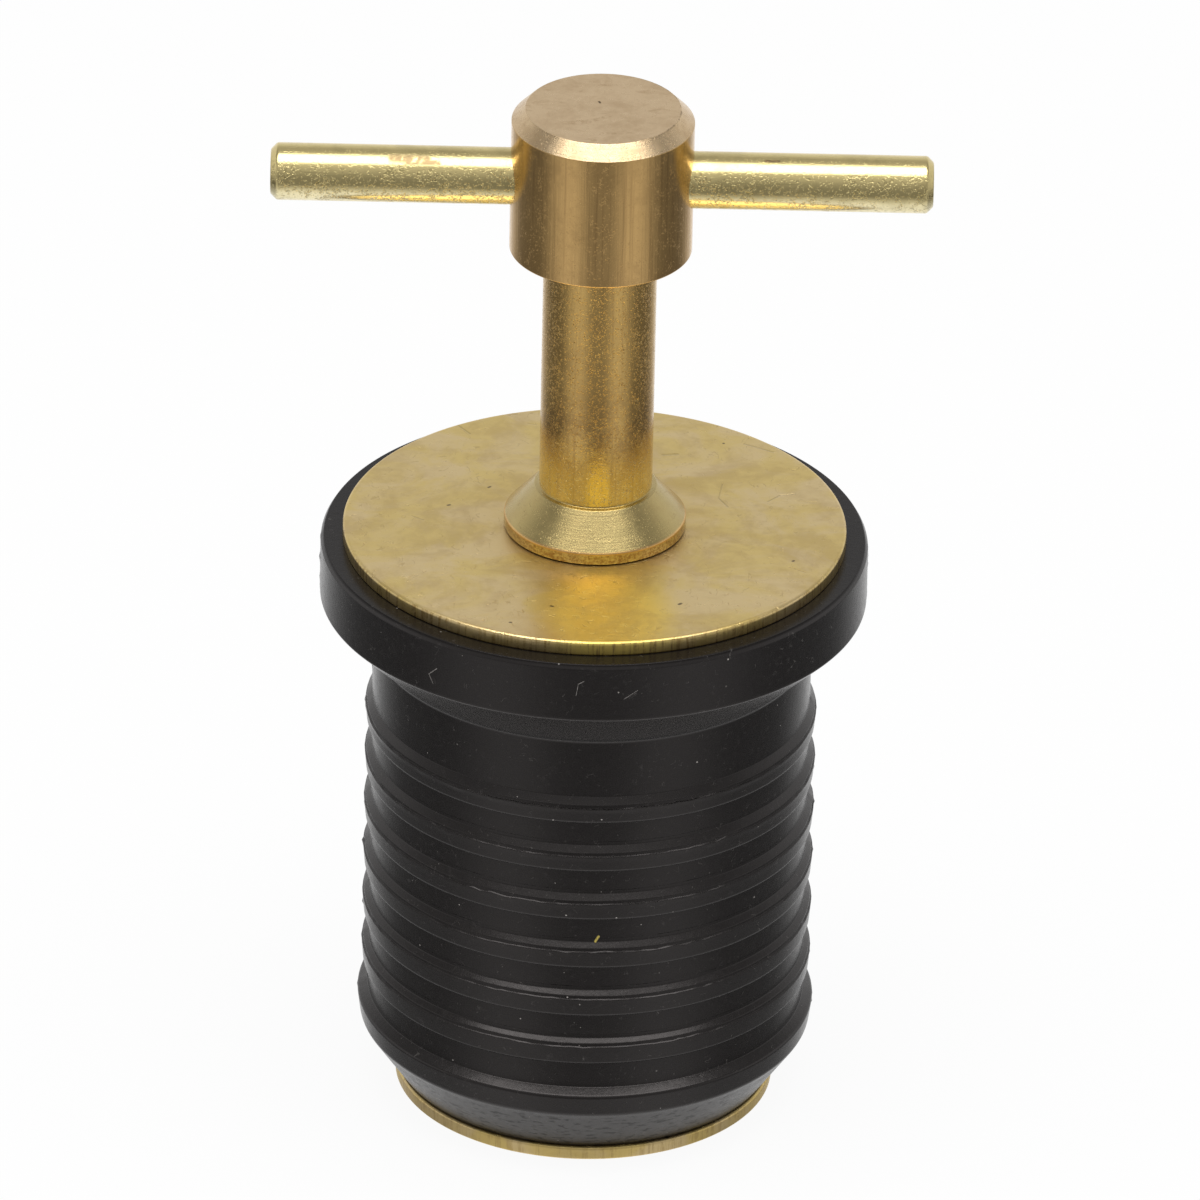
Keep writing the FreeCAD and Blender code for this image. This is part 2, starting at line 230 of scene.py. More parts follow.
class Wiring:
    """Short way to add nodes. A value may be plain, an output, or a node whose first output is meant."""

    def __init__(self, tree):
        self.tree = tree

    def join(self, socket, value):
        """Link an output or a node to an input, or set the input's own value."""
        if isinstance(value, bpy.types.Node):
            value = next(out for out in value.outputs if out.enabled)
        if isinstance(value, Number):
            value = value.socket
        if isinstance(value, bpy.types.NodeSocket):
            self.tree.links.new(value, socket)
        else:
            socket.default_value = value

    def add(self, kind, inputs=None, **settings):
        """New node with its settings and inputs, which are given by name or by number."""
        node = self.tree.nodes.new(kind)
        for name, value in settings.items():
            setattr(node, name, value)
        for key, value in (inputs or {}).items():
            self.join(node.inputs[key], value)
        return node

    def get(self, kind, inputs=None, output=0, **settings):
        """One output of a new node."""
        return Number(self, self.add(kind, inputs, **settings).outputs[output])

    def shape(self, kind, inputs=None, output=0, **settings):
        """One output of a new geometry node."""
        return self.get("GeometryNode" + kind, inputs, output, **settings)

    def whole(self, operation, *values):
        """Whole number worked out from two others."""
        return self.get("FunctionNodeIntegerMath", dict(enumerate(values)), operation=operation)

    def math(self, operation, *values):
        """Number worked out from one to three others."""
        return self.get("ShaderNodeMath", dict(enumerate(values)), operation=operation)

    def most(self, first, *others):
        """The largest of some numbers."""
        for other in others:
            first = self.math("MAXIMUM", first, other)
        return first

    def vector(self, operation, *values):
        """Vector or length worked out from one or two vectors."""
        node = self.add("ShaderNodeVectorMath", dict(enumerate(values)), operation=operation)
        return Number(self, next(out for out in node.outputs if out.enabled))

    def scale(self, vector, factor):
        """Vector times a number."""
        return self.get("ShaderNodeVectorMath", {0: vector, "Scale": factor}, operation="SCALE")

    def stretch(self, vector, *factors):
        """Vector with a factor for each axis, for grain that runs one way."""
        return self.vector("MULTIPLY", vector, factors)

    def pack(self, x, y, z):
        """Vector from three numbers."""
        return self.get("ShaderNodeCombineXYZ", {0: x, 1: y, 2: z})

    def split(self, vector):
        """The three numbers of a vector."""
        return [Number(self, out) for out in self.add("ShaderNodeSeparateXYZ", {0: vector}).outputs]

    def span(self, value, low, high, start=0.0, end=1.0, soft=True):
        """Value carried from low..high to start..end and held there."""
        return self.get("ShaderNodeMapRange", {0: value, 1: low, 2: high, 3: start, 4: end},
                        interpolation_type="SMOOTHSTEP" if soft else "LINEAR")

    def band(self, value, low, high, edge):
        """1 between low and high, 0 outside, with soft edges."""
        return self.span(value, low - edge, low) * self.span(value, high, high + edge, 1.0, 0.0)

    def blend(self, share, first, second):
        """Number between two others."""
        return self.get("ShaderNodeMix", {0: share, 2: first, 3: second}, data_type="FLOAT")

    def tint(self, share, first, second):
        """Colour between two others, either of which may be three plain numbers."""
        first, second = [tone if isinstance(tone, Number) else (*tone, 1.0) for tone in (first, second)]
        return self.get("ShaderNodeMix", {0: share, 6: first, 7: second}, 2, data_type="RGBA")

    def noise(self, vector, scale, detail=2.0, rough=0.5, warp=0.0):
        """Cloudy noise, about 0.5 in the middle."""
        return self.get("ShaderNodeTexNoise", {"Vector": vector, "Scale": scale, "Detail": detail,
                                               "Roughness": rough, "Distortion": warp})

    def cells(self, vector, scale):
        """Cell pattern for spots: distance from the nearest cell's middle, and three chances of its own."""
        pattern = self.add("ShaderNodeTexVoronoi", {"Vector": vector, "Scale": scale}, feature="F1").outputs
        return Number(self, pattern["Distance"]), self.split(pattern["Color"])


def lay_out(tree):
    """Put a tree's nodes in columns, from its inputs to its output."""
    depth = {}

    def depth_of(node):
        if node.name not in depth:
            depth[node.name] = 0
            feeders = [link.from_node for socket in node.inputs for link in socket.links]
            depth[node.name] = 1 + max((depth_of(feeder) for feeder in feeders), default=0)
        return depth[node.name]

    rows = {}
    for node in tree.nodes:
        column = depth_of(node)
        rows[column] = rows.get(column, 0) + 1
        node.location = (column * 220, -rows[column] * 180)


# Sections and turned solids

# A corner of a half section: distance from the axis and height, both in metres, radius of its round and
# longest step of the line that starts there (0 leaves it whole), both in millimetres, share of thread, half
# of a width across flats in metres, and the part of the section that it belongs to (0 for the top)
Corner = namedtuple("Corner", "out up round step thread flats part", defaults=(0.0,) * 5)
RIB_PART, BOTTOM_PART = 1, 2
ATTRIBUTES = ("round", "step", "thread", "flats", "part", "order")
# Weights that put the corners of all parts and ribs in their order
PART_WEIGHT, RIB_WEIGHT = 10000.0, 100.0
# Distance from a round to its support, and the share of a line that both may take up
SUPPORT_GAP = 0.035 * MM
SUPPORT_SHARE = 0.48
# Fineness: smallest distance that counts, most cuts of one line, steps round a hole and in a turn of thread
TINY = 1e-6
MOST_CUTS = 400.0
HOLE_STEPS = 96
THREAD_STEPS = 16


def with_supports(corners):
    """Add a point on each side of every rounded corner, so that the faces beside the round shade flat.

    Rounds and steps are in metres here.
    """
    result = []
    for index, corner in enumerate(corners):
        if not corner.round or index in (0, len(corners) - 1):
            result.append(corner)
            continue
        here = Vector((corner.out, corner.up))
        before = Vector(corners[index - 1][:2]) - here
        after = Vector(corners[index + 1][:2]) - here
        opening = before.angle(after)
        reach = corner.round / math.tan(opening / 2) + SUPPORT_GAP
        if reach < SUPPORT_SHARE * before.length:
            place = here + before.normalized() * reach
            result.append(corner._replace(out=place.x, up=place.y, round=0.0, step=0.0))
        step = corner.step
        result.append(corner._replace(step=0.0))
        if reach < SUPPORT_SHARE * after.length:
            place = here + after.normalized() * reach
            result.append(corner._replace(out=place.x, up=place.y, round=0.0, step=step))
        else:
            result[-1] = corner
    return result


def section_mesh(name, corners):
    """Half section as a chain of points and edges on XZ, with what each corner says kept as attributes."""
    corners = [corner._replace(round=corner.round * MM, step=corner.step * MM) for corner in corners]
    corners = with_supports(corners)
    mesh = bpy.data.meshes.new(name)
    edges = [(index, index + 1) for index in range(len(corners) - 1)]
    mesh.from_pydata([(corner.out, 0.0, corner.up) for corner in corners], edges, [])
    for label in ATTRIBUTES:
        values = range(len(corners)) if label == "order" else [getattr(corner, label) for corner in corners]
        attribute = mesh.attributes.new(label, "FLOAT", "POINT")
        attribute.data.foreach_set("value", [float(value) for value in values])
    return mesh


def new_tree(name, inputs, kind="GeometryNodeTree"):
    """Wiring of a new node group with one output, geometry or a mask, and the group's inputs by name.

    An input is given by its usual number, or by the sort of its socket.
    """
    tree = bpy.data.node_groups.new(name, kind)
    result = "Geometry" if kind == "GeometryNodeTree" else "Float"
    tree.interface.new_socket(result, in_out="OUTPUT", socket_type=f"NodeSocket{result}")
    for label, value in inputs.items():
        sort = {int: "Int", float: "Float"}.get(type(value), value)
        socket = tree.interface.new_socket(label, in_out="INPUT", socket_type=f"NodeSocket{sort}")
        if sort != value:
            socket.default_value = value
    wire = Wiring(tree)
    return wire, {out.name: Number(wire, out) for out in wire.add("NodeGroupInput").outputs if out.name}


def close_tree(wire, result):
    """Send a tree's result out, put the nodes in place and hand over the tree."""
    wire.add("NodeGroupOutput", {0: result})
    lay_out(wire.tree)
    return wire.tree


def named(wire, label):
    """A section's attribute, as a number on each point."""
    return wire.shape("InputNamedAttribute", {"Name": label}, data_type="FLOAT")


def make_rounding_tree():
    """Group that rounds a section's corners and divides its lines."""
    wire, given = new_tree("Round And Divide Section", {
        "Section": "Geometry",
        "Arc Points": 5,
    })
    fillet = wire.shape("FilletCurve", {
        "Curve": given["Section"],
        "Count": given["Arc Points"],
        "Radius": named(wire, "round"),
        "Limit Radius": True,
    }, mode="POLY")
    place = wire.shape("InputPosition")
    following = wire.whole("ADD", wire.shape("InputIndex"), 1)
    next_place = wire.shape("FieldAtIndex", {"Value": place, "Index": following}, data_type="FLOAT_VECTOR",
                            domain="POINT")
    step = named(wire, "step")
    cuts = wire.math("FLOOR", wire.vector("DISTANCE", place, next_place) / wire.most(step, TINY))
    capped = wire.math("MINIMUM", cuts * (step > 0.0), MOST_CUTS)
    return close_tree(wire, wire.shape("SubdivideCurve", {"Curve": fillet, "Cuts": capped}))


def make_turning_tree():
    """Group that turns a section about Z, and cuts threads and flats where the section asks for them."""
    wire, given = new_tree("Turn Section", {
        "Section": "Geometry",
        "Segments": 96,
        "Thread Pitch": 0.001,
        "Thread Depth": 0.0,
        "Sharp Angle": math.radians(32),
    })
    section, segments, pitch, depth, sharp_angle = given.values()
    count = wire.shape("AttributeDomainSize", {"Geometry": section}, "Point Count", component="CURVE")
    columns = wire.whole("ADD", segments, 1)
    grid = wire.shape("MeshGrid", {"Vertices X": count, "Vertices Y": columns})

    index = wire.shape("InputIndex")
    row = wire.whole("DIVIDE_FLOOR", index, columns)
    turn = wire.whole("MODULO", index, columns) / segments
    angle = turn * (2 * math.pi)

    def of_row(value, kind="FLOAT"):
        return wire.shape("SampleIndex", {"Geometry": section, "Value": value, "Index": row}, data_type=kind,
                          domain="POINT")

    out, _, up = wire.split(of_row(wire.shape("InputPosition"), "FLOAT_VECTOR"))
    thread, flats = of_row(named(wire, "thread")), of_row(named(wire, "flats"))

    # Right-hand thread: the crest climbs one pitch in a turn, and a shift keeps the saw's phase above 0
    saw = wire.math("FRACT", up / pitch - turn + 100.0)
    ridge = abs(saw * 2.0 - 1.0)
    threaded = out - wire.span(ridge, 0.25, 0.875, 1.0, 0.0, soft=False) * depth * thread

    # Six flats: the distance to a flat's plane, where the section gives one
    sixth = math.pi / 3
    plane = flats / wire.math("COSINE", wire.math("MODULO", angle, sixth) - sixth / 2)
    reach = wire.math("MINIMUM", threaded, wire.blend(flats > 0.0, 1.0, plane))

    place = wire.pack(reach * wire.math("COSINE", angle), reach * wire.math("SINE", angle), up)
    placed = wire.shape("SetPosition", {"Geometry": grid, "Position": place})
    closed = wire.shape("MergeByDistance", {"Geometry": placed, "Distance": TINY})
    soft_edge = wire.shape("InputMeshEdgeAngle", output="Unsigned Angle") < sharp_angle
    smooth = wire.shape("SetShadeSmooth", {"Geometry": closed, "Shade Smooth": True}, domain="FACE")
    edged = wire.shape("SetShadeSmooth", {"Geometry": smooth, "Shade Smooth": soft_edge}, domain="EDGE")
    return close_tree(wire, edged)


def end_tree(wire, geometry, material):
    """Realize what is left of instances, set the material, and close the tree."""
    real = wire.shape("RealizeInstances", {"Geometry": geometry})
    return close_tree(wire, wire.shape("SetMaterial", {"Geometry": real, "Material": material}))


def make_turned_tree(rounding, turning, name, drilled):
    """Tree for a turned brass piece, with a drilled cross hole if wanted."""
    wire, given = new_tree(name, {
        "Section": "Geometry",
        "Segments": 96,
        "Arc Points": 5,
        "Thread Pitch": 0.001,
        "Thread Depth": 0.0,
        "Cross Hole Radius": 0.0,
        "Cross Hole Level": 0.0,
        "Cross Hole Flare": 0.0,
        "Head Radius": 0.0,
        "Material": "Material",
    })
    line = wire.shape("MeshToCurve", {"Mesh": given["Section"]})
    rounded = wire.shape("Group", {"Section": line, "Arc Points": given["Arc Points"]}, node_tree=rounding)
    passed_on = {label: given[label] for label in ("Segments", "Thread Pitch", "Thread Depth")}
    solid = wire.shape("Group", {"Section": rounded, **passed_on}, node_tree=turning)
    if drilled:
        radius, level, flare = [given["Cross Hole " + label] for label in ("Radius", "Level", "Flare")]
        head = given["Head Radius"]

        def cut(tool, out, side):
            """The solid without a tool that is laid along X and moved out from the middle."""
            laid = wire.shape("Transform", {"Geometry": tool, "Rotation": (0.0, side * math.pi / 2, 0.0),
                                            "Translation": wire.pack(out, 0.0, level)})
            return wire.shape("MeshBoolean", {0: solid, 1: laid}, operation="DIFFERENCE", solver="EXACT")

        drill = {"Vertices": HOLE_STEPS, "Radius": radius, "Depth": head * 3.0}
        solid = cut(wire.shape("MeshCylinder", drill), 0.0, 1.0)
        # A countersink breaks the hole's edge on both sides
        sink = wire.shape("MeshCone", {
            "Vertices": HOLE_STEPS, "Radius Top": radius + flare * 4.0, "Radius Bottom": radius - flare,
            "Depth": flare * 5.0})
        for side in (1.0, -1.0):
            solid = cut(sink, (head - flare) * side, side)
    return end_tree(wire, solid, given["Material"])


def make_sleeve_tree(rounding, turning):
    """Tree for the sleeve: one rib of the section is repeated, then the whole is turned and made uneven."""
    wire, given = new_tree("Rubber Sleeve", {
        "Section": "Geometry",
        "Rib Count": 6,
        "Rib Pitch": 0.003,
        "Segments": 192,
        "Arc Points": 4,
        "First Rib": 23.61 * MM,
        "Unevenness": 0.02 * MM,
        "Unevenness Scale": 220.0,
        "Raggedness": 0.30 * MM,
        "Ragged Scale": 1400.0,
        "Flash": 0.09 * MM,
        "Seed": 3.0,
        "Material": "Material",
    })
    pitch = given["Rib Pitch"]
    part = named(wire, "part")
    points = wire.shape("MeshToPoints", {"Mesh": given["Section"]})
    is_rib = wire.math("COMPARE", part, float(RIB_PART), 0.1)
    picked = wire.add("GeometryNodeSeparateGeometry", {"Geometry": points, "Selection": is_rib},
                      domain="POINT").outputs

    # Copies of the rib's corners, one pitch apart, that know their place in the row
    drop = wire.pack(0.0, 0.0, pitch * -1.0)
    row = wire.shape("MeshLine", {"Count": given["Rib Count"], "Offset": drop}, mode="OFFSET")
    copies = wire.shape("InstanceOnPoints", {"Points": row, "Instance": picked["Selection"]})
    index = wire.shape("InputIndex")
    numbered = wire.shape("StoreNamedAttribute", {"Geometry": copies, "Name": "rib", "Value": index},
                          data_type="FLOAT", domain="INSTANCE")
    joined = wire.add("GeometryNodeJoinGeometry", {0: picked["Inverted"]})
    wire.join(joined.inputs[0], wire.shape("RealizeInstances", {"Geometry": numbered}))

    # Order along the section: top corners, then rib after rib, then bottom corners
    weight = named(wire, "order") + part * PART_WEIGHT + named(wire, "rib") * RIB_WEIGHT
    line = wire.shape("PointsToCurves", {"Points": joined, "Weight": weight})
    straight = wire.shape("CurveSplineType", {"Curve": line}, spline_type="POLY")
    arc = given["Arc Points"]
    rounded = wire.shape("Group", {"Section": straight, "Arc Points": arc}, node_tree=rounding)
    solid = wire.shape("Group", {"Section": rounded, "Segments": given["Segments"]}, node_tree=turning)

    # Moulded rubber is never quite true
    place = wire.shape("InputPosition")
    out_x, out_y, up = wire.split(place)
    flat = wire.pack(out_x, out_y, 0.0)
    radius = wire.vector("LENGTH", flat)
    drift = wire.vector("ADD", place, wire.pack(given["Seed"], 0.0, 0.0))
    swing = (wire.noise(drift, given["Unevenness Scale"], 2.0) - 0.5) * given["Unevenness"]
    outer = wire.span(radius, 10 * MM, 11.2 * MM)
    free = outer * wire.span(up, SLEEVE_HIGH.z - 0.3 * MM, SLEEVE_HIGH.z, 1.0, 0.0)
    push = wire.scale(wire.shape("InputNormal"), swing * free)
    uneven = wire.shape("SetPosition", {"Geometry": solid, "Offset": push})

    # Where the mould's rings meet, under each rib's shoulder, a ragged line is left
    below_top = given["First Rib"] - up
    on_pitch = wire.math("FRACT", below_top / pitch) * pitch
    row_height = pitch * given["Rib Count"]
    among_ribs = (below_top > 0.0) * (below_top < row_height)
    on_step = wire.band(on_pitch, 0.28 * MM, 0.44 * MM, 0.05 * MM) * among_ribs
    on_step = on_step * wire.span(radius, 12.2 * MM, 12.3 * MM)
    jitter = wire.noise(drift, given["Ragged Scale"], 2.0, 0.7) - 0.5
    patch = wire.span(wire.noise(drift, 260.0, 1.0), 0.35, 0.65, 0.25, 1.0)
    shift = jitter * patch * (given["Raggedness"] * on_step)
    # The shoulders are steep on the upper ribs and flatter on the lower ones, and not the same all round
    on_shoulder = wire.band(on_pitch, 0.1 * MM, 0.45 * MM, 0.05 * MM) * among_ribs
    tilt = (wire.noise(drift, 170.0, 2.0) - 0.5) * (0.12 * MM)
    flatter = wire.span(below_top, 0.0, row_height, -0.12 * MM, 0.08 * MM, soft=False)
    shift = shift + (tilt + flatter) * on_shoulder
    ragged = wire.shape("SetPosition", {"Geometry": uneven, "Offset": wire.pack(0.0, 0.0, shift)})

    # Flash where the halves of the mould meet, on the two sides
    on_parting = wire.span(abs(out_y), 0.05 * MM, 0.2 * MM, 1.0, 0.0) * outer
    torn = wire.noise(drift, given["Ragged Scale"], 3.0, 0.7)
    height = wire.span(torn, 0.5, 0.66, 0.15, 1.0) * given["Flash"]
    fin = wire.scale(wire.vector("NORMALIZE", flat), height * (on_parting * free))
    flashed = wire.shape("SetPosition", {"Geometry": ragged, "Offset": fin})
    return end_tree(wire, flashed, given["Material"])


def run_tree(name, section, tree, values):
    """Run a tree on a section and keep the result as a plain, closed, outward-facing mesh."""
    piece = bpy.data.objects.new(name, section)
    bpy.context.scene.collection.objects.link(piece)
    modifier = piece.modifiers.new("Tree", "NODES")
    modifier.node_group = tree
    sockets = {item.name: item.identifier for item in tree.interface.items_tree if item.in_out == "INPUT"}
    for label, value in values.items():
        modifier[sockets[label]] = value
    graph = bpy.context.evaluated_depsgraph_get()
    result = bpy.data.meshes.new_from_object(piece.evaluated_get(graph), preserve_all_data_layers=True,
                                             depsgraph=graph)
    result.name = name
    piece.modifiers.remove(modifier)
    piece.data = result
    bpy.data.meshes.remove(section)
    close_mesh(piece)
    return piece


def close_mesh(piece):
    """Turn all faces outwards, and refuse a piece that isn't closed."""
    work = bmesh.new()
    work.from_mesh(piece.data)
    bmesh.ops.recalc_face_normals(work, faces=work.faces)
    open_edges = sum(1 for edge in work.edges if len(edge.link_faces) != 2)
    inside_out = work.calc_volume(signed=True) < 0
    if inside_out:
        bmesh.ops.reverse_faces(work, faces=work.faces)
    work.to_mesh(piece.data)
    work.free()
    finish = piece.data.materials[-1]
    piece.data.materials.clear()
    piece.data.materials.append(finish)
    for polygon in piece.data.polygons:
        polygon.material_index = 0
    if open_edges:
        raise RuntimeError(f"{piece.name} has {open_edges} open edges")


def keep(piece, body, node):
    """Let a piece stand for a solid and move with its body."""
    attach(piece, body)
    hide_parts(node)


# Finishes

# Distances from the axis at which a side begins, in millimetres
STOCK_SIDE = (4.9, 4.97)
TOP_PLATE_SIDE = (13.76, 13.82)
LOW_PLATE_SIDE = (10.42, 10.47)
# Ring of dirt inside the head's chamfer, and the patch of the top plate that carries a painted reflection of
# the stem and foot
DIRT_RING = 4.25
STEM_REFLECTION_PLACE = (0.8, -10.5, 0.0)
STEM_REFLECTION_FALL = (0.26, 0.18, 0.0)


def new_material(name, shown, metallic=0.0):
    """Material with one shader, and the place on the piece in millimetres."""
    material = bpy.data.materials.new(name)
    material.use_nodes = True
    material.diffuse_color = (*shown, 1.0)
    wire = Wiring(material.node_tree)
    wire.tree.nodes.clear()
    shader = wire.add("ShaderNodeBsdfPrincipled", {"Metallic": metallic})
    wire.add("ShaderNodeOutputMaterial", {"Surface": shader})
    place = wire.stretch(wire.add("ShaderNodeTexCoord").outputs["Object"], *(1 / MM,) * 3)
    return material, wire, shader, place


def end_material(material, wire, shader, looks, relief, depth):
    """Give the shader its looks by their names, and its relief with its depth in millimetres."""
    looks["Normal"] = wire.add("ShaderNodeBump", {"Height": relief, "Distance": depth * MM})
    for label, value in looks.items():
        wire.join(shader.inputs[label], value)
    lay_out(wire.tree)
    return material


def make_mark_group():
    """Group that is 1 on a thin line from one spot to another, and 0 away from it."""
    wire, given = new_tree("Mark", {
        "Place": "Vector",
        "Start": "Vector",
        "End": "Vector",
        "Half Width": 0.03,
    }, "ShaderNodeTree")
    place, start, end, half_width = given.values()
    along = wire.vector("SUBTRACT", end, start)
    away = wire.vector("SUBTRACT", place, start)
    total = wire.most(wire.vector("DOT_PRODUCT", along, along), TINY)
    share = wire.vector("DOT_PRODUCT", away, along) / total
    nearest = wire.scale(along, wire.span(share, 0.0, 1.0, soft=False))
    gap = wire.vector("LENGTH", wire.vector("SUBTRACT", away, nearest))
    return close_tree(wire, wire.span((half_width * 1.5 - gap) / half_width, 0.0, 1.0))


def marks(wire, place, lines):
    """All marks of one kind: each has two spots and half of its width, in millimetres."""
    group = bpy.data.node_groups.get("Mark") or make_mark_group()
    return wire.most(*[wire.get("ShaderNodeGroup", {"Place": place, "Start": start, "End": end,
                                                    "Half Width": half_width}, node_tree=group)
                       for start, end, half_width in lines])


def flat_marks(wire, place, lines, level=0.0):
    """Marks on a level face, whose spots are given across and along."""
    return marks(wire, place, [((*start, level), (*end, level), width) for start, end, width in lines])


def round_spot(radius, turn, height):
    """Spot on a round piece, from its turn in degrees to the right of the front and its height."""
    angle = math.radians(turn)
    return radius * math.sin(angle), -radius * math.cos(angle), height


def hairlines(wire, vector, scale, thin, share):
    """Thin wandering lines, broken up so that only a share of them shows."""
    ridge = abs(wire.noise(vector, scale, 2.0, 0.5, 0.8) - 0.5)
    breaks = wire.noise(vector, scale * 1.7, 1.0)
    return wire.span(ridge, thin * 0.4, thin, 1.0, 0.0) * wire.span(breaks, 1.0 - share, 1.06 - share)


def pits(wire, vector, scale, amount, cluster):
    """Small pits in clusters, 1 at their bottoms."""
    level = wire.noise(vector, scale * cluster, 2.0, 0.5) * 0.5 + wire.noise(vector, scale, 2.0, 0.6)
    return wire.span(level, 0.95 - amount, 1.03 - amount)


# Marks on the head's flat end, in millimetres across and along: short smears that the tool left
CAP_SMEARS = [
    ((-2.2, -1.9), (-0.9, -1.6), 0.26), ((-0.9, -1.7), (0.7, -0.6), 0.18),
    ((-0.1, -3.0), (1.0, -2.9), 0.16), ((-0.8, 2.8), (0.9, 2.9), 0.12),
]
CAP_PIP = [((-0.2, 0.7), (-0.25, 0.85), 0.06)]


def turned_brass(colours):
    """Handle: drawn stock on the head's side, turned faces elsewhere, with a brown film and fine pits."""
    material, wire, shader, place = new_material("Turned brass", colours.turned, metallic=1.0)
    x, y, z = wire.split(place)
    flat = wire.pack(x, y, 0.0)
    radius = wire.vector("LENGTH", flat)
    top, foot = SCREW_HIGH.z / MM, PLATE_HIGH.z / MM
    on_flat = wire.span(z, top - 0.05, top - 0.01)
    on_wall = wire.band(z, top - 8.35, top - 0.74, 0.03) * wire.span(radius, *STOCK_SIDE)
    on_stem = wire.band(z, foot + 2.65, top - 8.45, 0.05)
    on_foot = wire.band(z, foot + 0.82, foot + 2.62, 0.04)
    on_rim = wire.band(z, foot, foot + 0.62, 0.03)
    on_chamfer = wire.band(z, top - 0.72, top - 0.06, 0.03)

    # Patterns: brown film, lines left by the die and the tool, pits, and smears on the end face
    film = wire.noise(place, 0.42, 4.0, 0.6)
    fine_film = wire.noise(place, 2.2, 4.0, 0.65)
    die_wide = wire.noise(wire.stretch(place, 3.2, 3.2, 0.06), 1.0, 2.0, 0.6)
    die_fine = wire.noise(wire.stretch(place, 10.0, 10.0, 0.14), 1.0, 3.0, 0.65)
    die_lines = die_wide * 0.5 + die_fine * 0.5
    rings = wire.noise(wire.pack(radius, z, 0.0), 9.0, 3.0, 0.65)
    radial = wire.noise(wire.pack(wire.math("ARCTAN2", x, y) * 16.0, 0.0, 0.0), 1.6, 3.0, 0.7)
    grain = wire.noise(place, 13.0, 3.0, 0.7)
    speckle = wire.noise(place, 6.0, 5.0, 0.8)
    curls = hairlines(wire, place, 3.8, 0.05, 0.5) * on_stem
    pitted = pits(wire, place, 9.5, 0.07, 0.18) * wire.blend(on_stem, 0.35, 0.9)
    smear = wire.noise(wire.stretch(flat, 0.55, 1.5, 1.0), 1.0, 4.0, 0.7, 0.8)
    patchy = flat_marks(wire, flat, CAP_SMEARS) * wire.span(wire.noise(place, 3.0, 3.0, 0.7), 0.36, 0.66)
    pip = flat_marks(wire, place, CAP_PIP, top)
    dirt_ring = wire.span(abs(radius - DIRT_RING), 0.02, 0.07, 1.0, 0.0)
    broken = wire.span(wire.noise(place, 2.6, 3.0, 0.7), 0.46, 0.6) * wire.span(x, 1.0, 2.0)
    edge_dirt = dirt_ring * wire.span(z, top - 0.12, top - 0.05) * broken

    # Colour: each turned face has its own, the stem's lower end carries a painted reflection of the plate, and
    # film, lines, pits, dirt and a painted contact shadow darken it
    # Painted reflection of the plate, brightest at the stem's lower end and fading upwards
    painted_plate_reflection = on_stem * wire.span(z, foot + 3.0, foot + 7.5, 1.0, 0.0)
    on_cap = wire.span(z, top - 0.76, top - 0.72)
    clean = colours.turned
    for share, tone in ((on_stem, colours.stem), (on_rim, colours.bar), (painted_plate_reflection, colours.stem_plate_reflection),
                        (on_foot, colours.foot), (on_cap, colours.cap)):
        clean = wire.tint(share, clean, tone)
    dull = wire.span(film * 0.6 + fine_film * 0.4, 0.42, 0.66, 0.0, 0.34) * wire.blend(on_foot, 1.0, 0.45)
    rim_dull = on_rim * wire.span(speckle, 0.42, 0.58, 0.15, 0.95)
    # The stem is browner in patches above its lower end and the painted reflection there
    low_stem = on_stem * wire.span(z, foot + 3.5, foot + 6.5, 0.35, 1.0)
    low_stem = low_stem * wire.span(z, foot + 7.0, foot + 13.0, 1.0, 0.0)
    stem_dull = low_stem * wire.span(speckle * 0.55 + film * 0.45, 0.46, 0.55, 0.0, 0.62)
    lines = wire.span(die_lines, 0.46, 0.66) * (on_wall * 0.5 + on_stem * 0.45)
    grey_smear = on_flat * wire.most(wire.span(smear, 0.5, 0.72, 0.0, 0.42), patchy * 0.5)
    dark = wire.most(dull, rim_dull, stem_dull, lines, grey_smear, pitted * 0.7)
    # Painted contact shadow: a dark band where the foot stands on the top plate, joined below with the real
    # dirt
    painted_seat_shadow = wire.band(z, foot - 0.1, foot + 0.07, 0.05) * 0.85
    dirt = wire.most(edge_dirt * 0.45, pip * 0.85, painted_seat_shadow)

    rough = wire.span(fine_film, 0.3, 0.7, 0.10, 0.18, soft=False) + on_flat * 0.16
    rough = rough + on_foot * 0.08 + on_chamfer * 0.13 + wire.most(pitted, dirt) * 0.3

    # Relief: lines along the drawn wall, rings and grain on the cut faces, pits everywhere
    cut_relief = (rings * 0.3 + radial * 0.45) * (1.0 - wire.most(on_wall, on_stem))
    relief = die_lines * wire.most(on_wall, on_stem * 0.45) + cut_relief
    relief = relief + grain * wire.blend(on_wall, 0.45, 0.3) - wire.most(pitted, pip) * 0.9 - curls * 0.8
    return end_material(material, wire, shader, {
        "Base Color": wire.tint(dirt, wire.tint(dark, clean, colours.turned_dark), colours.dirt),
        "Roughness": rough,
    }, relief, 0.011)


# Marks on the cross bar, in millimetres: brown smears that the fingers left, and a shallow dent whose shade is
# painted dark
BAR_SMEARS = [
    ((-11.4, -0.8, 56.95), (-9.6, -0.85, 56.9), 0.26), ((-10.6, -1.0, 56.8), (-8.9, -1.0, 56.8), 0.14),
]
BAR_DENTS = [((8.9, -0.5, 57.08), (9.6, -0.5, 57.1), 0.08)]


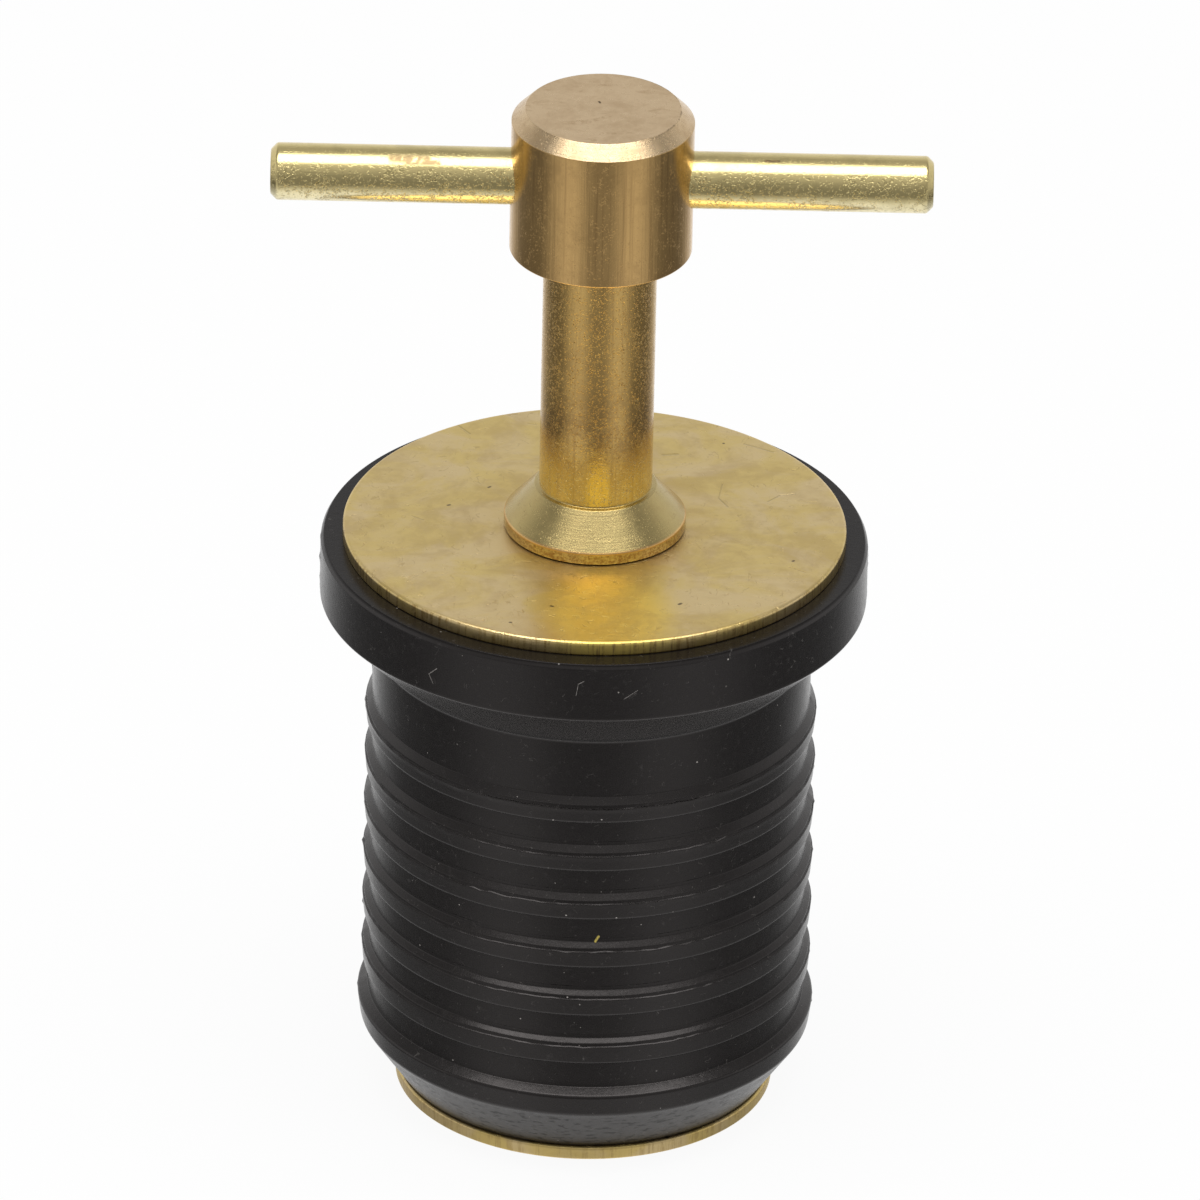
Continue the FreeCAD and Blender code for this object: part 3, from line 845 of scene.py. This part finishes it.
def bar_brass(colours):
    """Cross bar: bright drawn rod, roughened by many fine pits, with smears and a dent."""
    material, wire, shader, place = new_material("Drawn brass", colours.bar, metallic=1.0)
    drawn = wire.noise(wire.stretch(place, 0.16, 4.5, 4.5), 1.0, 3.0, 0.6)
    film = wire.noise(place, 0.5, 3.0, 0.6)
    height = wire.split(place)[2]
    level = BAR_LEVEL / MM
    pitted = pits(wire, place, 5.5, 0.13, 0.2) * wire.span(height, level + 0.7, level + 1.2, 1.0, 0.25)
    curls = hairlines(wire, place, 3.4, 0.05, 0.46) * wire.span(height, level + 0.5, level + 0.9, 1.0, 0.1)
    smeared = marks(wire, place, BAR_SMEARS) * wire.span(wire.noise(place, 2.6, 3.0, 0.6), 0.26, 0.54)
    shaded_dent = marks(wire, place, BAR_DENTS)

    # Painted reflection: the underside is paler, as if lit by the floor and plates below it
    painted_under_reflection = wire.span(height, level - 0.75, level + 0.05, 0.95, 0.0)
    dull = wire.most(wire.span(film, 0.45, 0.7, 0.0, 0.25), wire.span(drawn, 0.55, 0.8, 0.0, 0.25))
    dark = wire.most(dull, pitted * 0.35)
    toned = wire.tint(dark, wire.tint(painted_under_reflection, colours.bar, colours.bar_under_reflection), colours.bar_pit)
    # Real smears and the painted shade in the dent
    worn = wire.most(smeared * 0.85, shaded_dent * 0.9)
    return end_material(material, wire, shader, {
        "Base Color": wire.tint(worn, toned, colours.bar_smear_and_dent_shade),
        "Roughness": wire.span(film, 0.3, 0.7, 0.15, 0.22, soft=False) + pitted * 0.1 + smeared * 0.25,
    }, drawn * 0.25 - pitted * 0.9 - curls * 0.9 - shaded_dent * 0.3, 0.014)


# Marks on the plates, in millimetres across and along: scratches, and dark specks that are only spots
PLATE_SCRATCHES = [
    ((9.5, 3.0), (10.2, 3.8), 0.04), ((10.2, 3.8), (11.0, 4.0), 0.04), ((10.7, -4.6), (11.6, -5.2), 0.035),
    ((7.0, 5.0), (6.8, 3.3), 0.05), ((6.8, 3.3), (7.3, 2.3), 0.05), ((-7.9, 11.6), (-7.0, 10.3), 0.05),
    ((3.7, 8.3), (4.5, 8.4), 0.09), ((8.2, 9.8), (9.8, 8.9), 0.06), ((-10.1, 0.5), (-9.4, 0.0), 0.04),
]
PLATE_SPECKS = [
    ((10.9, -3.9), (10.95, -3.85), 0.07), ((4.7, -9.2), (4.8, -9.1), 0.08),
    ((-5.9, 4.0), (-5.8, 4.1), 0.06), ((-8.1, 1.8), (-8.0, 1.85), 0.07),
    ((-4.5, -11.7), (-4.45, -11.7), 0.07), ((-2.3, -9.7), (-2.2, -9.75), 0.07),
]


def plate_brass(colours):
    """Stamped plates: rolled sheet with cloudy stains, clean yellow patches, scratches and sheared edges."""
    material, wire, shader, place = new_material("Stamped brass", colours.plate, metallic=1.0)
    x, y, z = wire.split(place)
    flat = wire.pack(x, y, 0.0)
    radius = wire.vector("LENGTH", flat)
    on_rim = wire.span(radius, *LOW_PLATE_SIDE) * wire.span(z, 5.0, 6.0, 1.0, 0.0)
    on_edge = wire.most(wire.span(radius, *TOP_PLATE_SIDE), on_rim)

    stain = wire.noise(place, 0.30, 4.0, 0.62, 0.6)
    mottle = wire.noise(place, 0.9, 5.0, 0.68, 0.5)
    patch = wire.noise(wire.stretch(place, 0.24, 0.30, 0.3), 1.0, 5.0, 0.58, 0.8)
    fine = wire.noise(place, 5.0, 3.0, 0.65)
    rub = wire.noise(wire.stretch(place, 1.1, 3.6, 1.0), 1.0, 3.0, 0.6, 0.6)
    shear = wire.noise(wire.stretch(place, 4.5, 4.5, 0.30), 1.0, 3.0, 0.65)
    wrinkles = hairlines(wire, flat, 0.8, 0.010, 0.52)
    scratches = flat_marks(wire, flat, PLATE_SCRATCHES)
    gap, chances = wire.cells(place, 0.55)
    speck = wire.span(gap, 0.03, 0.06, 1.0, 0.0) * (chances[0] > 0.8)

    # Painted reflection: a brighter patch, the stem and foot mirrored in the plate, runs from the foot to the
    # front edge
    away = wire.vector("LENGTH", wire.stretch(wire.vector("SUBTRACT", flat, STEM_REFLECTION_PLACE), *STEM_REFLECTION_FALL))
    painted_stem_reflection = wire.span(away, 0.55, 1.2, 1.0, 0.0) * wire.span(z, 20.0, 21.0)
    clean = wire.tint(wire.span(patch, 0.38, 0.62, 0.12, 0.78), colours.plate, colours.plate_yellow)
    clean = wire.tint(painted_stem_reflection, clean, colours.plate_stem_reflection)
    cloud = stain * 0.65 + mottle * 0.35
    dull = wire.span(cloud, 0.44, 0.62, 0.0, 0.3) * wire.blend(on_edge, 1.0, 0.3)
    worn = wire.span(shear, 0.46, 0.62) * wire.span(mottle, 0.4, 0.56, 0.2, 0.95)
    sheared = on_edge * worn * wire.blend(on_rim, 1.0, 0.5)
    dark = wire.most(dull, wire.span(fine, 0.66, 0.74, 0.0, 0.35), sheared, wrinkles * 0.35)
    toned = wire.tint(dark, clean, colours.plate_stain)
    dirt = wire.most(scratches * 0.22, flat_marks(wire, flat, PLATE_SPECKS), speck)

    flat_rough = wire.span(rub, 0.3, 0.7, 0.27, 0.34, soft=False)
    near_foot = wire.span(radius, 5.2, 9.0, 0.12, 0.0)
    rough = wire.blend(on_edge, flat_rough, wire.blend(on_rim, 0.31, 0.44))
    cuts = wire.most(scratches, wrinkles * 0.6)
    return end_material(material, wire, shader, {
        "Base Color": wire.tint(dirt * 0.85, toned, colours.plate_dirt),
        "Roughness": rough + wire.most(near_foot, painted_stem_reflection * 0.12) + dull * 0.15,
    }, rub * 0.8 + fine * 0.6 + shear * on_edge * 2.2 - cuts * 2.0, 0.008)


# Marks on the sleeve: radius, then turn in degrees and height of both ends, and half of the width
SLEEVE_SCRATCHES = [
    (15.05, -34.1, 31.7, -36.1, 31.2, 0.018), (15.05, -36.1, 31.2, -35.0, 30.7, 0.018),
    (15.05, -1.5, 32.5, -2.7, 32.3, 0.018), (15.05, -2.7, 32.3, -3.1, 31.6, 0.014),
    (15.05, 9.7, 31.9, 6.9, 31.4, 0.014), (12.45, -41.7, 12.0, -39.6, 11.7, 0.030),
]
SLEEVE_FILINGS = [
    (12.09, 2.5, 14.7, 3.3, 15.0, 0.060), (12.30, 5.5, 5.2, 5.55, 5.2, 0.060),
]


def on_sleeve(lines):
    """Marks on the sleeve as pairs of spots."""
    return [(round_spot(radius, turn, height), round_spot(radius, other_turn, other_height), half_width)
            for radius, turn, height, other_turn, other_height, half_width in lines]


def black_rubber(colours):
    """Moulded rubber: black and slightly glossy, with dust, lint, scratches and bits of brass."""
    material, wire, shader, place = new_material("Moulded rubber", colours.rubber)
    shader.inputs["Specular Tint"].default_value = (*colours.rubber_gloss, 1.0)
    z = wire.split(place)[2]
    low, high = SLEEVE_LOW.z / MM, SLEEVE_HIGH.z / MM
    cloud = wire.noise(place, 0.5, 4.0, 0.6)
    scuff = wire.noise(place, 3.0, 4.0, 0.65)
    grain = wire.noise(place, 14.0, 3.0, 0.6)

    # Dust in many sizes, lint and scratches
    gap, (chance, size, tone) = wire.cells(place, 1.15)
    near = gap / (wire.math("POWER", size, 3.0) * 0.05 + 0.035)
    dust = wire.span(near, 0.5, 1.1, 1.0, 0.0) * (chance > 0.45) * wire.span(tone, 0.0, 1.0, 0.15, 0.8)
    lint = hairlines(wire, place, 1.2, 0.006, 0.4) * 0.1
    scratched = marks(wire, place, on_sleeve(SLEEVE_SCRATCHES)) * wire.span(grain, 0.35, 0.55, 0.15, 0.45)
    pale = wire.most(dust, lint, scratched)
    filings = marks(wire, place, on_sleeve(SLEEVE_FILINGS))

    # Grey bloom where the rubber is rubbed, with dark dashes on the lead-in taper, and painted sheen on the
    # cone under the flange
    rubbed = wire.span(scuff, 0.55, 0.8) * wire.span(cloud, 0.45, 0.68, 0.0, 0.5)
    on_taper = wire.span(z, low + 2.6, low + 3.2, 1.0, 0.0)
    dashes = wire.noise(wire.stretch(place, 1.6, 1.6, 5.0), 1.0, 2.0, 0.6)
    taper_bloom = on_taper * wire.span(dashes, 0.56, 0.66, 0.06, 0.0)
    # Painted light: the cone under the flange is lightened grey, standing in for the floor's reflection in it
    painted_sheen_under_flange = wire.band(z, high - 5.9, high - 3.5, 0.3) * 0.34
    body = wire.tint(wire.most(rubbed, taper_bloom, painted_sheen_under_flange), colours.rubber, colours.bloom_and_sheen)
    body = wire.tint(pale, body, colours.dust)
    # The lead-in taper is greasy and shines less, and so does the flange's top
    shine = wire.blend(on_taper, 0.5, wire.span(dashes, 0.52, 0.64, 0.40, 0.16))
    rough = wire.span(scuff, 0.3, 0.75, 0.21, 0.31, soft=False) + wire.most(pale, filings) * 0.3
    return end_material(material, wire, shader, {
        "Base Color": wire.tint(filings, body, colours.filing),
        "Metallic": filings * 0.6,
        "Specular IOR Level": wire.blend(wire.span(z, high - 0.15, high - 0.05), shine, 0.20),
        "Roughness": rough + on_taper * 0.06,
    }, scuff * 0.8 + grain * 0.1 + wire.most(pale, filings) * 1.2, 0.010)


def finish_for(context, name, make):
    """A finish by its name, made the first time that a piece asks for it."""
    return bpy.data.materials.get(name) or make(context.scene.plug_colours)


def tool_tree(name):
    """A shared tree, made with the others the first time that a piece asks for one."""
    if name not in bpy.data.node_groups:
        rounding = make_rounding_tree()
        turning = make_turning_tree()
        make_sleeve_tree(rounding, turning)
        make_turned_tree(rounding, turning, "Turned Piece", drilled=False)
        make_turned_tree(rounding, turning, "Drilled Turned Piece", drilled=True)
    return bpy.data.node_groups[name]


# Pieces

class PLUG_OT_sleeve(bpy.types.Operator):
    """Mould the rubber sleeve with its flange, ribs and lip"""

    bl_idname = "plug.sleeve"
    bl_label = "Rubber Sleeve"

    def execute(self, context):
        sizes = context.scene.plug_sleeve
        plates = context.scene.plug_plates
        low, high = SLEEVE_LOW.z, SLEEVE_HIGH.z
        bore, neck, crest, lip = sizes.bore_radius, sizes.neck_radius, sizes.rib_radius, sizes.lip_radius
        flange, chamfer = sizes.flange_radius, sizes.flange_chamfer
        rim_foot = high - sizes.flange_thickness
        rib = sizes.first_rib
        after_ribs = rib - sizes.rib_count * sizes.rib_pitch
        plate_edge, shoulder, shoulder_foot = 12.9 * MM, 12.36 * MM, 12.37 * MM
        pocket, pocket_edge = 5.95 * MM, 6.3 * MM
        pocket_top, pocket_flats = NUT_HIGH.z + POCKET_ROOM, plates.nut_flats + 0.1 * MM
        # The section starts and ends inside the bore
        seam = 20 * MM
        fine = 0.26
        top = [
            Corner(bore, seam, step=4),
            Corner(bore, high, 0.15, step=1.2),
            Corner(plate_edge, high, step=0.3),
            Corner(flange - 0.6 * chamfer, high, 0.08),
            Corner(flange, high - chamfer, 0.14, fine),
            Corner(flange, rim_foot, 0.16, fine),
            Corner(neck, rim_foot - sizes.cone_height, 0.3, fine),
            Corner(neck, rib + 0.35 * MM),
        ]
        ribs = [Corner(out, rib + up * MM, round_, step, part=RIB_PART) for out, up, round_, step in [
            (neck, 0.35, 0.0, 0.0),
            (neck, 0.13, 0.08, 0.0),
            (shoulder, -0.16, 0.07, 0.0),
            (shoulder_foot, -0.32, 0.03, 0.0),
            (crest, -0.37, 0.04, 0.22),
            (crest - 0.09 * MM, -1.42, 0.20, 0.0),
            (neck + 0.01 * MM, -1.46, 0.06, 0.22),
            (neck, -2.7, 0.0, 0.0),
        ]]
        bottom = [
            Corner(neck, after_ribs + 0.25 * MM),
            Corner(neck, after_ribs + 0.03 * MM, 0.06),
            Corner(lip, after_ribs - 0.33 * MM, 0.19, fine),
            Corner(lip - 0.16 * MM, low + 3.15 * MM, 0.5, fine),
            Corner(sizes.end_radius, low, 0.04, 1.2),
            Corner(pocket_edge, low),
            Corner(pocket, low, 0.08, 1.2, flats=pocket_flats),
            Corner(pocket, pocket_top, flats=pocket_flats),
            Corner(bore, pocket_top, 0.1, 4),
            Corner(bore, seam),
        ]
        bottom = [corner._replace(part=BOTTOM_PART) for corner in bottom]
        piece = run_tree("moulded_sleeve", section_mesh("sleeve_section", top + ribs + bottom),
                         tool_tree("Rubber Sleeve"), {
            "Rib Count": sizes.rib_count,
            "Rib Pitch": sizes.rib_pitch,
            "First Rib": sizes.first_rib,
            "Segments": sizes.segments,
            "Arc Points": 4,
            "Material": finish_for(context, "Moulded rubber", black_rubber),
        })
        keep(piece, "sleeve", "rubber_sleeve")
        share = 1.0 - CLAMP_TRAVEL / (high - low)
        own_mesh(piece)
        return {"FINISHED"}


class PLUG_OT_handle(bpy.types.Operator):
    """Turn the handle: head, stem, flared foot and threaded shank"""

    bl_idname = "plug.handle"
    bl_label = "Turned Handle"

    def execute(self, context):
        sizes = context.scene.plug_handle
        bar = context.scene.plug_bar
        foot, top, end = PLATE_HIGH.z, SCREW_HIGH.z, SCREW_LOW.z
        stock, stem, shank = sizes.stock_radius, sizes.stem_radius, sizes.shank_radius
        cone_foot = foot + sizes.foot_rim
        cone_top = cone_foot + sizes.foot_cone
        head, chamfer, run_out = top - sizes.head_height, sizes.head_chamfer, sizes.thread_top
        foot_neck = 3.36 * MM
        thread_step = sizes.thread_pitch / MM / THREAD_STEPS
        section = [
            Corner(0.0, end),
            Corner(shank - 0.6 * MM, end, 0.05),
            Corner(shank, end + 0.6 * MM, 0.0, thread_step, thread=1.0),
            Corner(shank, run_out, 0.0, thread_step, thread=1.0),
            Corner(shank, run_out + 0.8 * MM, 0.0, 2),
            Corner(shank, foot, 0.05, 1),
            Corner(stock - 0.10 * MM, foot, 0.02),
            Corner(stock, foot + 0.12 * MM, 0.05, 0.25),
            Corner(stock, cone_foot, 0.07, 0.25),
            Corner(foot_neck, cone_top, 0.06),
            Corner(stem, cone_top + 0.04 * MM, 0.03, 0.5),
            Corner(stem, head, 0.12, 0.4),
            Corner(stock, head, 0.08, 0.3),
            Corner(stock, top - chamfer, 0.04, 0.2),
            Corner(stock - chamfer, top, 0.03, 0.4),
            Corner(0.5 * MM, top),
            Corner(0.0, top),
        ]
        piece = run_tree("turned_handle", section_mesh("handle_section", section),
                         tool_tree("Drilled Turned Piece"), {
            "Segments": sizes.segments,
            "Arc Points": 5,
            "Thread Pitch": sizes.thread_pitch,
            "Thread Depth": sizes.thread_depth,
            "Cross Hole Radius": bar.radius + 0.01 * MM,
            "Cross Hole Level": BAR_LEVEL,
            "Cross Hole Flare": 0.07 * MM,
            "Head Radius": stock,
            "Material": finish_for(context, "Turned brass", turned_brass),
        })
        keep(piece, "handle", "handle_screw")
        return {"FINISHED"}


class PLUG_OT_bar(bpy.types.Operator):
    """Cut the cross bar that is pressed through the head"""

    bl_idname = "plug.bar"
    bl_label = "Cross Bar"

    def execute(self, context):
        sizes = context.scene.plug_bar
        half, radius, chamfer = sizes.half_length, sizes.radius, sizes.chamfer
        section = [
            Corner(0.0, -half, step=0.5),
            Corner(radius - chamfer, -half, 0.25),
            Corner(radius, chamfer - half, 0.25, 0.5),
            Corner(radius, half - chamfer, 0.25),
            Corner(radius - chamfer, half, 0.25, 0.5),
            Corner(0.0, half),
        ]
        piece = run_tree("grip_bar", section_mesh("bar_section", section), tool_tree("Turned Piece"), {
            "Segments": 120,
            "Arc Points": 5,
            "Material": finish_for(context, "Drawn brass", bar_brass),
        })
        piece.data.transform(Matrix.Translation((0, 0, BAR_LEVEL)) @ Matrix.Rotation(math.pi / 2, 4, "Y"))
        keep(piece, "handle", "cross_bar")
        return {"FINISHED"}


class PLUG_OT_plates(bpy.types.Operator):
    """Stamp the round plates above and below the sleeve"""

    bl_idname = "plug.plates"
    bl_label = "Stamped Plates"

    def stamp(self, context, name, levels, radii, body, node):
        """One plate: upper edges rolled by the punch, a sheared side that leans in, a sharper lower edge."""
        low, high = levels
        hole, outside, lean = radii
        section = [
            Corner(hole, (low + high) / 2),
            Corner(hole, high, 0.06, 0.4),
            Corner(outside, high, 0.18, 0.2),
            Corner(outside - lean, low, 0.08, 0.4),
            Corner(hole, low, 0.05),
            Corner(hole, (low + high) / 2),
        ]
        piece = run_tree(name, section_mesh(name + "_section", section), tool_tree("Turned Piece"), {
            "Segments": 216,
            "Arc Points": 6,
            "Material": finish_for(context, "Stamped brass", plate_brass),
        })
        keep(piece, body, node)

    def execute(self, context):
        sizes = context.scene.plug_plates
        self.stamp(context, "stamped_top_plate", (PLATE_LOW.z, PLATE_HIGH.z),
                   (sizes.top_hole, sizes.top_radius, 0.0), "sleeve", "top_plate")
        self.stamp(context, "stamped_bottom_plate", (BASE_LOW.z, BASE_HIGH.z),
                   (sizes.bottom_hole, sizes.bottom_radius, 0.05 * MM), "clamp", "bottom_plate")
        return {"FINISHED"}


class PLUG_OT_nut(bpy.types.Operator):
    """Make the hexagonal nut with its staked collar"""

    bl_idname = "plug.nut"
    bl_label = "Clamp Nut"

    def execute(self, context):
        sizes = context.scene.plug_plates
        handle = context.scene.plug_handle
        low, shoulder, high = NUT_LOW.z, BASE_HIGH.z, NUT_HIGH.z
        root = handle.shank_radius + THREAD_FLANK_PLAY
        collar, flats = sizes.collar_radius, sizes.nut_flats
        corner_radius = flats / math.cos(math.pi / 6)
        thread_step = handle.thread_pitch / MM / THREAD_STEPS
        middle = low + 3 * MM
        section = [
            Corner(root, middle, 0.0, thread_step, thread=1.0),
            Corner(root, high - 0.35 * MM, thread=1.0),
            Corner(root + 0.25 * MM, high, 0.04, 0.5),
            Corner(corner_radius - 0.75 * MM, high, 0.05, 0.1, flats=flats),
            Corner(corner_radius, high - 0.42 * MM, 0.05, 0.5, flats=flats),
            Corner(corner_radius, shoulder, flats=flats),
            Corner(collar, shoulder, 0.04),
            Corner(collar, low, 0.04),
            Corner(collar - 0.22 * MM, low, 0.03),
            Corner(collar - 0.34 * MM, low + 0.16 * MM, 0.03),
            Corner(collar - 0.46 * MM, low, 0.03),
            Corner(root + 0.3 * MM, low, 0.04),
            Corner(root, low + 0.35 * MM, 0.0, thread_step, thread=1.0),
            Corner(root, middle, thread=1.0),
        ]
        piece = run_tree("staked_nut", section_mesh("nut_section", section), tool_tree("Turned Piece"), {
            "Segments": handle.segments,
            "Arc Points": 4,
            "Thread Pitch": handle.thread_pitch,
            "Thread Depth": handle.thread_depth,
            "Material": finish_for(context, "Turned brass", turned_brass),
        })
        keep(piece, "clamp", "clamp_nut")
        return {"FINISHED"}


# Studio

# Brightness of the room by the height of a direction, as degrees above the horizon and a share of white
ROOM_FRONT = [(-90, 1.0), (-64, 0.95), (-40, 0.52), (-28, 0.24), (0, 0.26), (19, 0.38), (46, 0.62),
              (56, 0.68), (90, 1.0)]
ROOM_QUARTER = [(-90, 1.0), (-64, 0.95), (-40, 0.68), (-28, 0.58), (0, 0.36), (36, 0.48), (50, 0.66),
                (90, 1.0)]
ROOM_SIDE = [(-90, 1.0), (-64, 0.90), (-40, 0.38), (-28, 0.12), (0, 0.66), (18, 0.78), (40, 0.24),
             (58, 0.42), (90, 1.0)]
ROOM_BACK = [(-90, 1.0), (-45, 1.0), (-28, 1.0), (5, 0.85), (28, 0.70), (46, 0.44), (66, 0.46), (90, 1.0)]
# Share of a half turn, from the front to the back, over which each goes over into the next
ROOM_TURNS = [(0.05, 0.21, ROOM_QUARTER), (0.23, 0.48, ROOM_SIDE), (0.63, 1.0, ROOM_BACK)]

# Floor, softbox and camera, in metres but for the sensor's millimetres
FLOOR_HALF = 0.9
LAMP_WIDTH, LAMP_DEPTH = 0.86, 0.40
LAMP_PLACE = (0.0, -0.105, 0.62)
AIM_RIGHT, AIM_DOWN = 0.379 * MM, 4.19 * MM
SENSOR_WIDTH = 36.0
CLIP_START, CLIP_END = 0.05, 10.0


def room_ramp(wire, height, stops):
    """Brightness at each height of a direction, from 0 straight down to 1 straight up."""
    ramp = wire.add("ShaderNodeValToRGB", {0: height})
    elements = ramp.color_ramp.elements
    while len(elements) < len(stops):
        elements.new(0.5)
    for element, (degrees, share) in zip(elements, stops):
        element.position = (degrees + 90) / 180
        element.color = (share, share, share, 1.0)
    return ramp.outputs[0]


def make_room(strength):
    """World: white for the camera, and for metal and rubber the sweep behind and the dim room in front."""
    world = bpy.data.worlds.new("room")
    world.use_nodes = True
    wire = Wiring(world.node_tree)
    wire.tree.nodes.clear()
    x, y, z = wire.split(wire.vector("NORMALIZE", wire.add("ShaderNodeTexCoord").outputs["Generated"]))
    height = wire.math("ARCSINE", z) / math.pi + 0.5
    turn = wire.math("ARCTAN2", abs(x), y * -1.0) / math.pi
    light = room_ramp(wire, height, ROOM_FRONT)
    for start, end, stops in ROOM_TURNS:
        light = wire.blend(wire.span(turn, start, end), light, room_ramp(wire, height, stops))
    # The white sweep behind shows white to the camera, and in metal and rubber too
    sweep = wire.span(turn, 0.84, 0.96) * wire.span(height, 0.42, 0.55, 1.0, 0.0)
    path = wire.add("ShaderNodeLightPath").outputs
    mirrored = sweep * wire.most(path["Is Glossy Ray"], path["Is Transmission Ray"])
    shown = wire.blend(wire.most(path["Is Camera Ray"], mirrored), light * strength, 1.0)
    background = wire.add("ShaderNodeBackground", {"Color": wire.pack(shown, shown, shown)})
    wire.add("ShaderNodeOutputWorld", {"Surface": background})
    lay_out(world.node_tree)
    return world


def floor_finish():
    """White floor: mostly its own white for the camera, with the object's shadow kept in it."""
    material, wire, shader, _ = new_material("Pale floor", (0.9, 0.9, 0.9))
    shader.inputs["Base Color"].default_value = (0.90, 0.90, 0.90, 1.0)
    shader.inputs["Roughness"].default_value = 0.9
    shader.inputs["Specular IOR Level"].default_value = 0.0
    white = wire.add("ShaderNodeEmission", {"Color": (1.0, 1.0, 1.0, 1.0), "Strength": 1.0})
    path = wire.add("ShaderNodeLightPath").outputs
    seen = wire.most(path["Is Camera Ray"], path["Is Glossy Ray"], path["Is Transmission Ray"])
    both = wire.add("ShaderNodeMixShader", {0: seen * 0.93, 1: shader, 2: white})
    output = next(node for node in wire.tree.nodes if node.type == "OUTPUT_MATERIAL")
    wire.join(output.inputs["Surface"], both)
    lay_out(material.node_tree)
    return material


class PLUG_OT_stage(bpy.types.Operator):
    """Set up the floor, the softbox, the room and the camera"""

    bl_idname = "plug.stage"
    bl_label = "Studio"

    def execute(self, context):
        settings = context.scene.plug_studio
        scene = context.scene
        scene.view_settings.view_transform = "Standard"
        scene.world = make_room(settings.world_light)

        mesh = bpy.data.meshes.new("studio_floor")
        signs = [(-1, -1), (1, -1), (1, 1), (-1, 1)]
        mesh.from_pydata([(x * FLOOR_HALF, y * FLOOR_HALF, 0) for x, y in signs], [], [(0, 1, 2, 3)])
        mesh.materials.append(floor_finish())
        floor = bpy.data.objects.new("studio_floor", mesh)
        floor.visible_glossy = False
        scene.collection.objects.link(floor)

        lamp = bpy.data.lights.new("softbox", "AREA")
        lamp.shape = "ELLIPSE"
        lamp.size = LAMP_WIDTH
        lamp.size_y = LAMP_DEPTH
        lamp.energy = settings.lamp_power
        softbox = bpy.data.objects.new("softbox", lamp)
        softbox.location = LAMP_PLACE
        scene.collection.objects.link(softbox)

        rise, roll = settings.camera_rise, settings.camera_roll
        focus = Vector((0.0, 0.0, PLATE_HIGH.z))
        back = Vector((0.0, -math.cos(rise), math.sin(rise)))
        upward = Vector((0.0, math.sin(rise), math.cos(rise)))
        place = focus + back * settings.camera_distance
        aim = focus + Vector((AIM_RIGHT, 0.0, 0.0)) - upward * AIM_DOWN
        lens = bpy.data.cameras.new("camera")
        lens.lens = settings.focal_length
        lens.sensor_width = SENSOR_WIDTH
        lens.clip_start = CLIP_START
        lens.clip_end = CLIP_END
        camera = bpy.data.objects.new("camera", lens)
        turned = (aim - place).to_track_quat("-Z", "Y").to_matrix() @ Matrix.Rotation(roll, 3, "Z")
        camera.matrix_world = Matrix.Translation(place) @ turned.to_4x4()
        scene.collection.objects.link(camera)
        scene.camera = camera
        return {"FINISHED"}


class PLUG_PT_maker(bpy.types.Panel):
    """Makers and sizes of the drain plug"""

    bl_idname = "PLUG_PT_maker"
    bl_label = "Drain Plug"
    bl_space_type = "VIEW_3D"
    bl_region_type = "UI"
    bl_category = "Drain Plug"

    def draw(self, context):
        for maker in MAKERS:
            self.layout.operator(maker.bl_idname)
        for label in PROPERTY_GROUPS:
            group = getattr(context.scene, label)
            box = self.layout.box()
            for name in group.__annotations__:
                box.prop(group, name)


MAKERS = (PLUG_OT_stage, PLUG_OT_sleeve, PLUG_OT_handle, PLUG_OT_bar, PLUG_OT_plates, PLUG_OT_nut)
PROPERTY_GROUPS = {
    "plug_sleeve": SleeveSizes,
    "plug_handle": HandleSizes,
    "plug_bar": BarSizes,
    "plug_plates": PlateSizes,
    "plug_colours": PlugColours,
    "plug_studio": StudioSettings,
}


def register():
    """Register the classes and give every scene its sizes."""
    for item in (*PROPERTY_GROUPS.values(), *MAKERS, PLUG_PT_maker):
        bpy.utils.register_class(item)
    for label, group in PROPERTY_GROUPS.items():
        setattr(bpy.types.Scene, label, PointerProperty(type=group))


def unregister():
    """Take back what register did."""
    for label in PROPERTY_GROUPS:
        delattr(bpy.types.Scene, label)
    for item in reversed((*PROPERTY_GROUPS.values(), *MAKERS, PLUG_PT_maker)):
        bpy.utils.unregister_class(item)


def main():
    """Make the whole scene."""
    register()
    for maker in MAKERS:
        group, operator = maker.bl_idname.split(".")
        getattr(getattr(bpy.ops, group), operator)()


if __name__ == "__main__":
    main()
